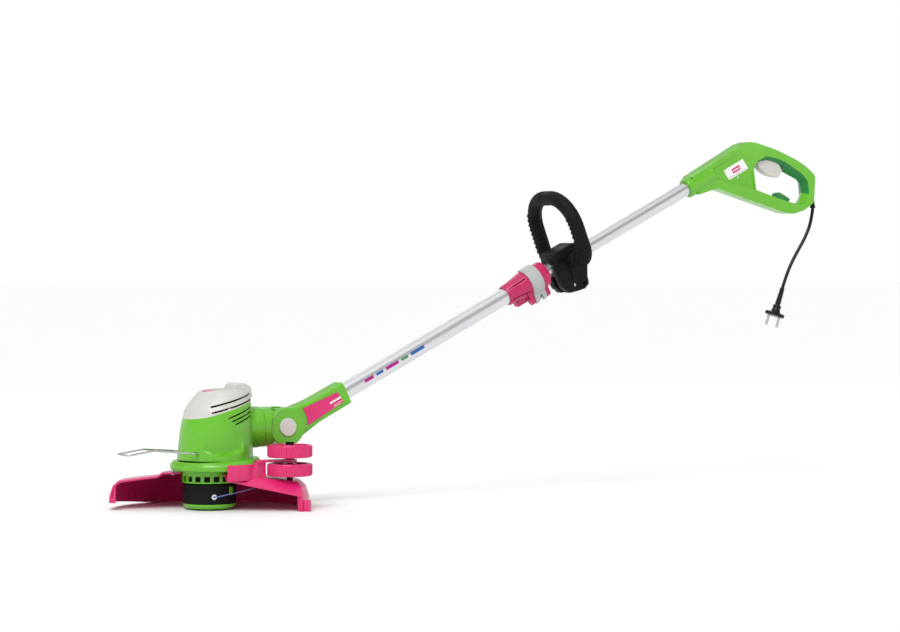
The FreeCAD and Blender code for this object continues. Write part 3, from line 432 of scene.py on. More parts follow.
# %% Outlines with rounded corners
def rounded(corners, steps=5):
    """An outline from (x, y) or (x, y, radius) corners."""
    points = []
    for place, (x, y, *rest) in enumerate(corners):
        here = Vector((x, y))
        if not rest:
            points.append(here)
            continue
        back = Vector(corners[place - 1][:2]) - here
        on = Vector(corners[(place + 1) % len(corners)][:2]) - here
        reach = min(rest[0] / math.tan(back.angle(on) / 2), back.length * 0.49, on.length * 0.49)
        start, end = here + back.normalized() * reach, here + on.normalized() * reach
        for step in range(steps + 1):
            t = step / steps
            points.append(start * (1 - t) ** 2 + here * 2 * t * (1 - t) + end * t ** 2)
    return points


def slab(outline, low, high, rim=0.0, steps=3, holes=()):
    """An outline in the XZ plane, thick from y = low to high, with rims rounded."""
    bm = bmesh.new()
    edges = []
    for loop in (outline, *holes):
        ring = [bm.verts.new((point.x, low, point.y)) for point in loop]
        edges += [bm.edges.new((a, b)) for a, b in zip(ring, ring[1:] + ring[:1])]
    if holes:
        bmesh.ops.triangle_fill(bm, use_beauty=True, edges=edges)
    else:
        bm.faces.new(ring)
    lifted = bmesh.ops.extrude_face_region(bm, geom=bm.faces[:], use_keep_orig=True)
    bmesh.ops.translate(bm, verts=[v for v in lifted["geom"] if isinstance(v, bmesh.types.BMVert)],
                        vec=(0, high - low, 0))
    bmesh.ops.recalc_face_normals(bm, faces=bm.faces[:])
    if rim:
        caps = [e for e in bm.edges if len(e.link_faces) == 2 and abs(e.verts[0].co.y - e.verts[1].co.y) < 1e-6
                and e.link_faces[0].normal.dot(e.link_faces[1].normal) < 0.3]
        bmesh.ops.bevel(bm, geom=caps, offset=rim, segments=steps, profile=0.5, affect="EDGES", clamp_overlap=True)
    return bm


def around(profile_at, start=0.0, sweep=360.0, count=96):
    """A body round Z from a closed (radius, height) profile that may change with the angle."""
    bm = bmesh.new()
    whole = abs(sweep - 360) < 1e-6
    places = count if whole else count + 1
    rings = []
    for place in range(places):
        angle = math.radians(start + sweep * place / count)
        rings.append([bm.verts.new((r * math.cos(angle), r * math.sin(angle), z)) for r, z in profile_at(angle)])
    for here, there in zip(rings, rings[1:] + ([rings[0]] if whole else [])):
        for i in range(len(here)):
            j = (i + 1) % len(here)
            bm.faces.new((here[i], there[i], there[j], here[j]))
    if not whole:
        bm.faces.new(rings[0])
        bm.faces.new(rings[-1][::-1])
    bmesh.ops.remove_doubles(bm, verts=bm.verts[:], dist=1e-4)
    bmesh.ops.dissolve_degenerate(bm, edges=bm.edges[:], dist=1e-4)
    bmesh.ops.recalc_face_normals(bm, faces=bm.faces[:])
    return bm


def lathe(corners, steps=4, **how):
    profile = [tuple(point) for point in rounded(corners, steps)]
    return around(lambda angle: profile, **how)


def box(low, high):
    bm = bmesh.new()
    bmesh.ops.create_cube(bm, size=1)
    for vert in bm.verts:
        vert.co = [lo + (hi - lo) * (c + 0.5) for lo, hi, c in zip(low, high, vert.co)]
    return bm


# %% Turning a drawing into an object
def raw(name, bm, matrix=Matrix()):
    bmesh.ops.transform(bm, matrix=matrix, verts=bm.verts[:])
    mesh = bpy.data.meshes.new(name)
    bm.to_mesh(mesh)
    bm.free()
    made = bpy.data.objects.new(name, mesh)
    bpy.context.scene.collection.objects.link(made)
    return made


def settled(thing):
    """Modifiers turned into plain mesh."""
    bpy.context.view_layer.update()
    graph = bpy.context.evaluated_depsgraph_get()
    mesh = bpy.data.meshes.new_from_object(thing.evaluated_get(graph))
    thing.modifiers.clear()
    thing.data = mesh
    return thing


def combined(thing, tools, how="DIFFERENCE"):
    for tool in tools:
        change = thing.modifiers.new("combine", "BOOLEAN")
        change.operation = how
        change.solver = "EXACT"
        change.object = tool
    settled(thing)
    for tool in tools:
        bpy.data.objects.remove(tool)
    return thing


def softened(thing, width, angle=35, steps=2):
    """Small rounds on the edges sharper than an angle, as a mould leaves them."""
    change = thing.modifiers.new("soften", "BEVEL")
    change.width = width
    change.segments = steps
    change.limit_method = "ANGLE"
    change.angle_limit = math.radians(angle)
    change.use_clamp_overlap = True
    return settled(thing)


def piece(thing, finish, body, stands_for=(), smooth=35, matrix=None):
    """The last step for a piece: to metres, smooth shading, finish, body and the solids that it stands for."""
    if matrix is not None:
        thing.data.transform(matrix)
    thing.data.polygons.foreach_set("use_smooth", [True] * len(thing.data.polygons))
    thing.data.set_sharp_from_angle(angle=math.radians(smooth))
    if finish is not None:
        thing.data.materials.clear()
        thing.data.materials.append(finishes[finish])
    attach(thing, body)
    if stands_for:
        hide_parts(*stands_for)
    print(thing.name, len(thing.data.polygons), "faces")
    return thing


# %% [markdown]
# ## Motor housing
# The housing is round at its foot and leans back as it rises: its front draws in to a flat top while its rear
# stays upright.  A turned body with one front profile and one rear profile, mixed by the angle, gives that lean.
# The grey cover and the green housing are then the same shell on either side of a rising parting line.

# %% The leaning shell
HOUSING_X = 10.0
FRONT_LINE = [(60.5, 79), (58.5, 100), (55.5, 125), (51.0, 147), (47.5, 159), (40.0, 170), (31.0, 179.5),
              (24.0, 185.5), (14.0, 187.5), (0, 188.5)]
REAR_LINE = [(60.5, 79), (60.0, 100), (59.2, 125), (58.6, 147), (58.2, 159), (57.8, 170), (56.8, 179.5),
             (53.0, 186.5), (40.0, 190.5), (0, 188.5)]


def smooth_line(corners, steps=4):
    """Points on a Catmull-Rom curve through the corners."""
    padded = [corners[0], *corners, corners[-1]]
    points = []
    for a, b, c, d in zip(padded, padded[1:], padded[2:], padded[3:]):
        for step in range(steps):
            t = step / steps
            points.append(tuple(0.5 * (2 * q + (r - p) * t + (2 * p - 5 * q + 4 * r - s) * t * t
                                       + (3 * q - p - 3 * r + s) * t ** 3) for p, q, r, s in zip(a, b, c, d)))
    return points + [corners[-1]]


front_line = smooth_line(FRONT_LINE, 12)
rear_line = smooth_line(REAR_LINE, 12)


def dent(angle, height):
    """Depth of the finger scoop in both sides: a curved ledge below, fading out above."""
    across = abs(math.degrees(abs(angle)) - 99) / 33
    if across >= 1:
        return 0.0
    lip = 93 + 8 * across ** 2
    if height < lip:
        rise = max(0.0, 1 - (lip - height) / 6)
        share = rise * rise * (3 - 2 * rise)
    else:
        share = max(0.0, 1 - (height - lip) / 36) ** 1.4
    return 8.5 * (1 - across ** 2) ** 0.7 * share


def leaning(wall):
    """The housing's profile at each angle, wall millimetres inside the outer face."""
    def profile_at(angle):
        share = (0.5 + 0.5 * math.cos(angle)) ** 1.15
        line = []
        for (fr, fz), (rr, rz) in zip(front_line, rear_line):
            radius, height = fr + (rr - fr) * share, fz + (rz - fz) * share
            folded = (angle + math.pi) % (2 * math.pi) - math.pi
            lowered = wall * min(1, (height - 150) / 30) if height > 150 else 0
            line.append((max(radius - wall - dent(folded, height), 0), height - lowered))
        line[-1] = (0, 188.5 - wall)
        return [(0, 79 - wall * 4)] + [(line[0][0], 79 - wall * 4)] + line if wall else [(0, 79)] + line
    return profile_at


def parting_cutter(name, above):
    line = [(-90, 143.5), (-40, 144), (-24, 147), (0, 154.5), (24, 161.5), (52, 169.5), (70, 173), (110, 178)]
    cap = 260 if above else 20
    outline = [Vector(p) for p in line] + [Vector((110, cap)), Vector((-90, cap))]
    return raw(name, slab(outline, -100, 100))


def slot_cutter(start, end, width):
    """A long round-ended slot through the near and the far wall, parallel to Y."""
    (x0, z0), (x1, z1) = start, end
    lean = math.atan2(z1 - z0, x1 - x0)
    half = width / 2
    outline = [Vector((x1 + half * math.cos(lean + a), z1 + half * math.sin(lean + a)))
               for a in (math.radians(d) for d in range(-90, 91, 30))]
    outline += [Vector((x0 + half * math.cos(lean + a), z0 + half * math.sin(lean + a)))
                for a in (math.radians(d) for d in range(90, 271, 30))]
    return raw("slot", slab(outline, -100, 100))


COVER_SLOTS = [((-15, 163.5), (57, 182.4)), ((-15, 154.3), (58, 173.7))]
HOUSING_SLOTS = [((8.3, 145.6), (54, 161.5)), ((14.3, 140.8), (54, 154.8)), ((20.3, 136.4), (54, 148.2))]

cover = raw("motor_cover", around(leaning(0), count=180), moved(HOUSING_X))
inner = raw("inner", around(leaning(2.5), count=180), moved(HOUSING_X))
combined(cover, [inner, parting_cutter("below", False)] + [slot_cutter(a, b, 3.0) for a, b in COVER_SLOTS])

# %% The cover's spine and its badge
spine_side = [(28, 184, 2), (31, 195.5, 5), (38, 199, 6), (50, 198.5, 6), (59, 193, 6), (62.5, 178, 4), (50, 168)]
spine = raw("cover_spine", slab(rounded(spine_side, 6), -19, 19, rim=5.5, steps=4), moved(5))
piece(softened(spine, 0.4, 40), "silver_plastic", "head", matrix=WORLD)
softened(cover, 0.5, 40)
piece(cover, "silver_plastic", "head", ["top_cover"], matrix=WORLD)

badge = raw("cover_badge", around(lambda angle: [(0, 0), (14 - 4 * abs(math.sin(angle)), 0),
                                                 (13.4 - 4 * abs(math.sin(angle)), 0.7), (0, 0.9)], count=48),
            moved(2, 0, 187.6) @ turned(-2, "Y"))
piece(badge, "badge_print", "head", matrix=WORLD)

# %% The green housing with its louvres, its scoop and its neck
housing = raw("motor_case", around(leaning(0), count=180), moved(HOUSING_X))
inner = raw("inner", around(leaning(2.5), count=180), moved(HOUSING_X))
neck = raw("neck", lathe([(0, 40), (32.4, 40), (32.4, 60, 0.6), (33, 60.6, 0.6), (33, 73.6, 1), (0, 73.6)]),
           moved(HOUSING_X, 0, 127.5) @ turned(90, "Y"))
combined(housing, [neck], "UNION")
bore = raw("bore", lathe([(0, -20), (24, -20), (24, 64), (20.3, 64), (20.3, 90), (0, 90)]),
           moved(HOUSING_X, 0, 127.5) @ turned(90, "Y"))
combined(housing, [inner, bore, parting_cutter("above", True)]
         + [slot_cutter(a, b, 2.6) for a, b in HOUSING_SLOTS])
wire_hole = raw("wire_hole", lathe([(0, -90), (2.3, -90), (2.3, 90), (0, 90)], count=24),
                moved(-39, 0, 91) @ turned(90, "X"))
combined(housing, [wire_hole])
softened(housing, 0.5, 40)
piece(housing, "lime_plastic", "head", ["motor_housing"], matrix=WORLD)

# %% [markdown]
# ## Base ring
# The ring below the housing carries the cooling vents.  They repeat evenly round it, which is a job for Geometry
# Nodes: one rounded block is placed on the points of a circle, and all of them are cut out of the ring at once.

# %% A tree that cuts a ring of openings
def new_tree(name, inputs):
    tree = bpy.data.node_groups.new(name, "GeometryNodeTree")
    tree.interface.new_socket("Geometry", in_out="INPUT", socket_type="NodeSocketGeometry")
    tree.interface.new_socket("Geometry", in_out="OUTPUT", socket_type="NodeSocketGeometry")
    for label, kind in inputs:
        tree.interface.new_socket(label, in_out="INPUT", socket_type="NodeSocket" + kind)
    return tree, tree.nodes.new("NodeGroupInput"), tree.nodes.new("NodeGroupOutput")


def wired(tree, kind, links=(), **settings):
    """A node with its inputs set to numbers or joined to (node, output) pairs."""
    made = tree.nodes.new(kind)
    for key, amount in settings.items():
        setattr(made, key, amount)
    for socket, source in dict(links).items():
        target = made.inputs[socket]
        if isinstance(source, tuple) and hasattr(source[0], "outputs"):
            tree.links.new(source[0].outputs[source[1]], target)
        else:
            target.default_value = source
    return made


def grown(thing, tree, amounts):
    """Run a tree on an object with its named inputs set, and keep the plain mesh."""
    change = thing.modifiers.new("grow", "NODES")
    change.node_group = tree
    for item in tree.interface.items_tree:
        if item.in_out == "INPUT" and item.name in amounts:
            change[item.identifier] = amounts[item.name]
    return settled(thing)


def vent_tree():
    tree, given, result = new_tree("ring_of_vents", [("Count", "Int"), ("Radius", "Float"), ("Height", "Float"),
                                                     ("Size", "Vector"), ("Finish", "Material")])
    circle = wired(tree, "GeometryNodeMeshCircle", {"Vertices": (given, "Count"), "Radius": (given, "Radius")})
    place = wired(tree, "GeometryNodeInputPosition")
    outward = wired(tree, "FunctionNodeAlignRotationToVector", {"Vector": (place, "Position")}, axis="X",
                    pivot_axis="Z")
    block = wired(tree, "GeometryNodeMeshCube", {"Size": (given, "Size")})
    spread = wired(tree, "GeometryNodeInstanceOnPoints", {"Points": (circle, "Mesh"), "Instance": (block, "Mesh"),
                                                          "Rotation": (outward, "Rotation")})
    lift = wired(tree, "ShaderNodeCombineXYZ", {"Z": (given, "Height")})
    raised = wired(tree, "GeometryNodeTransform", {"Geometry": (spread, "Instances"), "Translation": (lift, "Vector")})
    real = wired(tree, "GeometryNodeRealizeInstances", {"Geometry": (raised, "Geometry")})
    cut = wired(tree, "GeometryNodeMeshBoolean", {"Mesh 1": (given, "Geometry"), "Mesh 2": (real, "Geometry")},
                operation="DIFFERENCE", solver="EXACT")
    whole = wired(tree, "GeometryNodeRealizeInstances", {"Geometry": (cut, "Mesh")})
    dressed = wired(tree, "GeometryNodeSetMaterial", {"Geometry": (whole, "Geometry"),
                                                      "Material": (given, "Finish")})
    tree.links.new(dressed.outputs["Geometry"], result.inputs["Geometry"])
    return tree


# %% The base ring
def ring_section(angle):
    out, top = 71.2 + 3.2 * (1 + math.cos(angle)), 79 + 3 * math.cos(angle)
    return [(54, 63), (out - 4, 63), (out - 1.2, 64), (out, 66.5), (out, 70), (out - 1.5, 73.5), (out - 5, 77),
            (out - 9, top), (54, top + 1)]


flange = raw("flange", around(ring_section), moved(HOUSING_X))
vent_ring = raw("base_flange", lathe([(39.5, 43), (43.2, 43, 0.8), (43.2, 66), (39.5, 66)]))
grown(vent_ring, vent_tree(), {"Count": 18, "Radius": 42.0, "Height": 49.8, "Size": (12.0, 9.4, 8.6),
                               "Finish": finishes["lime_plastic"]})
plate = raw("plate", lathe([(11, 56), (15, 56), (15, 62), (56, 62), (56, 66), (11, 66)]))
combined(vent_ring, [flange, plate], "UNION")
softened(vent_ring, 0.4, 40)
piece(vent_ring, "lime_plastic", "head", ["base_ring"], matrix=WORLD)

# %% [markdown]
# ## Guard
# The guard is a hood: a nearly flat deck that turns down into a skirt, open towards the front, with a sloping
# apron along its near edge.  An outer hood minus a slightly smaller inner one gives an even wall, and the same
# sloping planes trim both, so that the apron keeps that wall too.

# %% Hood, apron and rising skirt
NEAR_EDGE = (Vector((4.5, -66, 50)), Vector((102, -117, 27)))
HOOD = [(45, 0), (158.9, 0), (158.3, 10), (157.5, 22), (152.5, 38, 9), (143, 46, 9), (112, 49.8), (82, 53), (75, 58.5),
        (45, 58.5)]
HOLLOW = [(40, -10), (156.5, -10), (155.8, 10), (154.9, 22), (150, 36.4, 7), (141.6, 43.4, 7), (111.8, 47.2),
          (81, 50.4), (74, 56), (40, 56)]


def edge_cutter(rise, drop):
    along = NEAR_EDGE[1] - NEAR_EDGE[0]
    inward = Vector((-along.y, along.x, 0)).normalized()
    slope = inward + Vector((0, 0, rise)) if rise else Vector((0, 0, 1))
    facing = along.cross(slope).normalized()
    axes = Matrix((along.normalized(), facing.cross(along).normalized(), facing)).transposed().to_4x4()
    return raw("edge", box((-150, -200, -drop), (350, 300, 150)), Matrix.Translation(NEAR_EDGE[0]) @ axes)


hood = raw("guard_hood", lathe(HOOD, start=-90, sweep=250, count=150))
combined(hood, [edge_cutter(0, 0), edge_cutter(1, 0)])
hollow = raw("hollow", lathe(HOLLOW, start=-100, sweep=268, count=150))
combined(hollow, [edge_cutter(1, 2.5)])
combined(hood, [hollow, raw("rise", box((0, 0, 0), (200, 400, 60)), moved(-190, -200, -44) @ turned(5.8, "Y"))])
softened(hood, 0.7, 40)
piece(hood, "pink_plastic", "head", ["guard"], matrix=WORLD)

# %% The upstand, the end strip and the foot
upstand = raw("guard_upstand", lathe([(76.6, 49), (79.4, 49), (79.4, 74, 1), (76.6, 74, 1)], start=-101, sweep=45,
                                     count=30), moved(10))
piece(softened(upstand, 0.5, 40), "pink_plastic", "head", matrix=WORLD)
LEFT_STRIP = [(147.5, 0), (158.4, 0), (157.8, 10), (156.8, 22), (152, 36, 5), (147.5, 39.5)]
left_strip = raw("guard_left_strip", lathe(LEFT_STRIP, start=156.6, sweep=3.3, count=6))
combined(left_strip, [raw("lift", box((0, 0, 0), (200, 400, 60)), moved(-190, -200, -44) @ turned(5.8, "Y")),
                      raw("end_slot", box((150.5, -3, 19), (153.8, 9, 33)), turned(159.9, "Z"))])
piece(softened(left_strip, 0.5, 40), "pink_plastic", "head", matrix=WORLD)
strip = raw("guard_end_strip", lathe([(149, 0), (158.6, 0, 1), (158, 12), (157, 22, 3), (151, 36.5, 3), (147, 36)],
                                     start=-47.2, sweep=3.4, count=6))
piece(softened(strip, 0.8, 40), "pink_plastic", "head", matrix=WORLD)
foot = raw("guard_foot", box((-6, -6, 0), (6, 6, 18)), turned(-46.4, "Z") @ moved(161.5, 4) @ turned(3, "Z"))
piece(softened(foot, 1.2, 40, 3), "pink_plastic", "head", matrix=WORLD)

# %% [markdown]
# ## Edge wheels
# Two plain wheels beside the guard roll along a lawn's edge.  Their rims have fine upright ribs, so a second
# small tree sets one slim bar on every point of a circle and joins them to the turned wheel.

# %% A tree for ribs round a rim
def rib_tree():
    tree, given, result = new_tree("ribs_round_a_rim", [("Count", "Int"), ("Radius", "Float"), ("Rib", "Float"),
                                                        ("Length", "Float"), ("Middle", "Float"),
                                                        ("Finish", "Material")])
    circle = wired(tree, "GeometryNodeMeshCircle", {"Vertices": (given, "Count"), "Radius": (given, "Radius")})
    bar = wired(tree, "GeometryNodeMeshCylinder", {"Vertices": 8, "Radius": (given, "Rib"),
                                                   "Depth": (given, "Length")})
    spread = wired(tree, "GeometryNodeInstanceOnPoints", {"Points": (circle, "Mesh"), "Instance": (bar, "Mesh")})
    lift = wired(tree, "ShaderNodeCombineXYZ", {"Z": (given, "Middle")})
    raised = wired(tree, "GeometryNodeTransform", {"Geometry": (spread, "Instances"), "Translation": (lift, "Vector")})
    both = wired(tree, "GeometryNodeJoinGeometry")
    for source in ((given, "Geometry"), (raised, "Geometry")):
        tree.links.new(source[0].outputs[source[1]], both.inputs["Geometry"])
    real = wired(tree, "GeometryNodeRealizeInstances", {"Geometry": (both, "Geometry")})
    dressed = wired(tree, "GeometryNodeSetMaterial", {"Geometry": (real, "Geometry"), "Material": (given, "Finish")})
    tree.links.new(dressed.outputs["Geometry"], result.inputs["Geometry"])
    return tree


ribs_round_rim = rib_tree()

# %% Both wheels
AXLE = (103.0, -78.0)
for name, node in (("edge_wheel_low", "wheel_lower"), ("edge_wheel_high", "wheel_upper")):
    low, high = (corner.z * 1000 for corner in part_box(node))
    width = high - low
    wheel = raw(name, lathe([(5.05, 0.5), (11, 0.5, 0.5), (11.6, 4.5, 1), (28.4, 5.5, 1), (29, 0, 0.8),
                             (34.2, 0, 1.2), (34.9, 1.6), (34.9, width - 1.6), (34.2, width, 1.2),
                             (29, width, 0.8), (28.4, width - 5, 1), (11.6, width - 4, 1), (11, width, 0.5),
                             (5.05, width)], count=96))
    grown(wheel, ribs_round_rim, {"Count": 54, "Radius": 34.75, "Rib": 1.05, "Length": width - 3.6,
                                  "Middle": width / 2, "Finish": finishes["pink_plastic"]})
    piece(wheel, None, node, [node], smooth=30, matrix=WORLD @ moved(*AXLE, low))

# %% [markdown]
# ## Line drum
# The drum is plain and black, with a chamfer at its foot, a fine step near its top and a small green latch that
# holds the spool cover.

# %% Drum and latch
drum = raw("drum_shell", lathe([(4, 31), (9, 31), (9, 38), (39.8, 38), (39.8, 10), (41.2, 10), (42.3, 11.4, 1),
                                (42.5, 34.6), (42.1, 35), (42.1, 35.8), (42.5, 36.2), (42.5, 41, 0.8), (4, 41)],
                               count=120))
windows = [raw("latch_window", box((36, -5, 24), (46, 5, 38)), turned(a, "Z")) for a in (-62, 118)]
combined(drum, windows)
piece(softened(drum, 0.3, 40), "black_plastic", "cutting_head", ["line_drum"], matrix=WORLD)
for place, angle in enumerate((-62, 118)):
    latch = raw(f"spool_latch_{place}", lathe([(39.2, 24.6), (42.4, 24.6, 0.6), (43.0, 31), (42.4, 37.4, 0.6),
                                               (39.2, 37.4)], start=angle - 6, sweep=12, count=10))
    piece(softened(latch, 0.4, 40), "lime_plastic", "cutting_head", matrix=WORLD)
screen = raw("vent_screen", lathe([(37.2, 43.4), (38.6, 43.4), (38.6, 61.8), (37.2, 61.8)], count=72))
piece(screen, "black_plastic", "head", matrix=WORLD)

# %% [markdown]
# ## Rear handle
# The handle is a flat D of plastic with a hole for the fingers.  The walls of that hole slope inward from both
# faces to the middle, so a hand meets a rounded triangle.  Each half is built straight from its outlines: the hole
# is wide at the face and narrow where the halves meet, which a Boolean cutter would only approximate.

# %% The D and its sloping hole
D_OUTLINE = [(892, -17), (892, 17), (1014, 21.5, 18), (1030, 19, 14), (1044, 10, 30), (1076.5, -18.5, 200),
             (1108, -53, 90), (1123, -74, 90), (1134, -97, 10), (1110, -139, 8), (1085, -142, 30), (1060, -137, 20),
             (1045, -127), (934, -26, 10), (926, -23, 10)]
WIDE_HOLE = [(1018, -26, 5), (1005.5, -63, 3), (1040, -95.5, 4), (1073, -124, 8), (1091, -134, 8), (1106, -123, 8),
             (1114.5, -100, 12), (1109, -82, 14), (1086, -48, 20), (1071, -33, 14), (1052, -19.5, 10), (1033, -19, 8)]
NARROW_HOLE = [(1018, -29, 5), (1006, -62, 3), (1041, -93.5, 4), (1074, -121.5, 8), (1090, -130, 8),
               (1102, -117, 8), (1107.5, -100, 12), (1101.5, -88, 14), (1079, -62, 20), (1065, -48, 14),
               (1049, -34, 10), (1034, -29, 8)]


def handle_half(side):
    """One half of the D: its hole is wide at the face and narrow where the halves meet."""
    outer, wide, narrow = rounded(D_OUTLINE, 5), rounded(WIDE_HOLE, 4), rounded(NARROW_HOLE, 4)
    bm = bmesh.new()
    rings = []
    for loop in (outer, wide):
        rings.append([bm.verts.new((p.x, side * 15, p.y)) for p in loop])
    edges = [bm.edges.new(pair) for ring in rings for pair in zip(ring, ring[1:] + ring[:1])]
    bmesh.ops.triangle_fill(bm, use_beauty=True, edges=edges)
    for ring, loop in ((rings[0], outer), (rings[1], narrow)):
        meeting = [bm.verts.new((p.x, side * 0.06, p.y)) for p in loop]
        for i in range(len(ring)):
            j = (i + 1) % len(ring)
            bm.faces.new((ring[i], ring[j], meeting[j], meeting[i]))
        rings.append(meeting)
    edges = [bm.edges.get(pair) for ring in rings[2:] for pair in zip(ring, ring[1:] + ring[:1])]
    bmesh.ops.triangle_fill(bm, use_beauty=True, edges=edges)
    bmesh.ops.recalc_face_normals(bm, faces=bm.faces[:])
    rims = [e for e in bm.edges if abs(abs(e.verts[0].co.y) - 15) < 1e-6 and abs(abs(e.verts[1].co.y) - 15) < 1e-6
            and e.calc_face_angle(0) > 0.4]
    bmesh.ops.bevel(bm, geom=rims, offset=3.2, segments=4, profile=0.5, affect="EDGES", clamp_overlap=True)
    return raw("handle_half", bm)


# %% The socket, the sunk side panels and the deep green hole walls: darker grip moulding and painted shade
PANEL = [(938, -9), (1004.6, -61), (1014, -27), (1030, -12), (1006, 12), (938, 12)]
RIDGE = math.degrees(math.atan2(-52, 66.6))
TRIGGER_SLOT = [(1031, -12), (1031, -40), (1060, -72), (1084, -62), (1082, -40), (1060, -12)]


def sunk(side):
    """The plane of a side panel, hinged on its upper edge and sinking towards the ridge."""
    return (moved(1000, 0, 12) @ turned(-RIDGE, "Y") @ turned(-side * 2.6, "X") @ turned(RIDGE, "Y")
            @ moved(-1000, 0, -12))


def inside(loop, x, y):
    hit = False
    for a, b in zip(loop, loop[1:] + loop[:1]):
        if (a.y > y) != (b.y > y) and x < (b.x - a.x) * (y - a.y) / (b.y - a.y) + a.x:
            hit = not hit
    return hit


grip_and_shade_zone = rounded(WIDE_HOLE, 4)
for side, name, node in ((-1, "handle_near", "handle_left"), (1, "handle_far", "handle_right")):
    half = handle_half(side)
    half.name = name
    panel = slab([Vector(p) for p in PANEL], *sorted((side * 15.0, side * 30)))
    combined(half, [raw("panel", panel, sunk(side))])
    socket = raw("socket", lathe([(0, 880), (16.2, 880, 1), (17.5, 882.5, 1), (17.5, 938, 3), (0, 950)], count=64),
                 turned(90, "Y"))
    combined(half, [socket], "UNION")
    bore = raw("bore", lathe([(0, 870), (12.03, 870), (12.03, 960), (0, 960)], count=64), turned(90, "Y"))
    slot = raw("trigger_slot", slab([Vector(p) for p in TRIGGER_SLOT], -8.4, 8.4))
    low, high = sorted((side * 0.06, -side * 60))
    combined(half, [bore, slot, raw("other_half", box((860, low, -200), (1200, high, 100)))])
    half.data.materials.clear()
    half.data.materials.append(finishes["lime_plastic"])
    half.data.materials.append(finishes["deep_green_plastic_and_painted_shade"])
    # The sloping walls at the back of the finger hole take the deep green: partly a darker grip moulding, partly
    # painted shade where those walls turn away from the light.
    for face in half.data.polygons:
        x, y, z = face.center
        sloping = abs(face.normal.y) < 0.93 and 0.2 < abs(y) < 14.7
        face.material_index = int(sloping and x > 1024 and z > -118 and inside(grip_and_shade_zone, x - 1.5, z - 1.5))
    print(name, len(half.data.polygons), "faces")
    piece(half, None, "upper_shaft", [node], smooth=32, matrix=SHAFT)

# %% A plain label on the near face
label = raw("handle_label", slab(rounded([(958.5, -2, 2), (1004, -1, 2), (1007.5, -21.5, 2), (962, -22.5, 2)], 4),
                                 -15.35, -14.2, rim=0.15, steps=1), sunk(-1))
piece(label, "label_print", "upper_shaft", matrix=SHAFT)

# %% [markdown]
# ## Front loop grip
# The loop is a soft round tube bent across the shaft, with finger ribs on the side that faces the cutting head.
# The tube follows a path, and the ribs follow the same path, so the tree takes the path itself: it keeps the part
# of it that has ribs, spreads half rings along it and turns each one to face forward.

# %% The path of the loop, in shaft millimetres
LOOP_S = 606.0
LOOP_CORNERS = [((LOOP_S, -30, 0), 0), ((LOOP_S, -64, -4), 22), ((LOOP_S + 11, -64, 110), 54),
                ((LOOP_S + 12, 64, 110), 54), ((LOOP_S, 64, -4), 22), ((LOOP_S, 30, 0), 0)]


def bent_path(corners, spacing):
    """Evenly spaced points along straight runs joined by arcs."""
    points = [Vector(corners[0][0])]
    for (before, _), (corner, radius), (after, _) in zip(corners, corners[1:], corners[2:]):
        before, corner, after = Vector(before), Vector(corner), Vector(after)
        back, on = (before - corner).normalized(), (after - corner).normalized()
        half = back.angle(on) / 2
        reach = radius / math.tan(half)
        heart = corner + (back + on).normalized() * radius / math.sin(half)
        start, end = corner + back * reach - heart, corner + on * reach - heart
        for step in range(13):
            points.append(heart + start.slerp(end, step / 12) * radius)
    points.append(Vector(corners[-1][0]))
    even = [points[0]]
    left = spacing
    for a, b in zip(points, points[1:]):
        run = (b - a).length
        while left <= run:
            even.append(a.lerp(b, left / run))
            left += spacing
        left -= run
    return even + [points[-1]]


loop_path = bent_path(LOOP_CORNERS, 2.5)
print("loop path", round(len(loop_path) * 2.5), "mm")


def tube(path, radius_at, count=32):
    """A closed tube whose radius may change along its path."""
    bm = bmesh.new()
    side = Vector((1, 0, 0))
    rings = []
    for place, point in enumerate(path):
        ahead = (path[min(place + 1, len(path) - 1)] - path[max(place - 1, 0)]).normalized()
        out = ahead.cross(side).normalized()
        up = out.cross(ahead)
        radius = radius_at(place)
        rings.append([bm.verts.new(point + (out * math.cos(a) + up * math.sin(a)) * radius)
                      for a in (2 * math.pi * i / count for i in range(count))])
    for here, there in zip(rings, rings[1:]):
        for i in range(count):
            j = (i + 1) % count
            bm.faces.new((here[i], here[j], there[j], there[i]))
    bm.faces.new(rings[0][::-1])
    bm.faces.new(rings[-1])
    bmesh.ops.recalc_face_normals(bm, faces=bm.faces[:])
    return bm


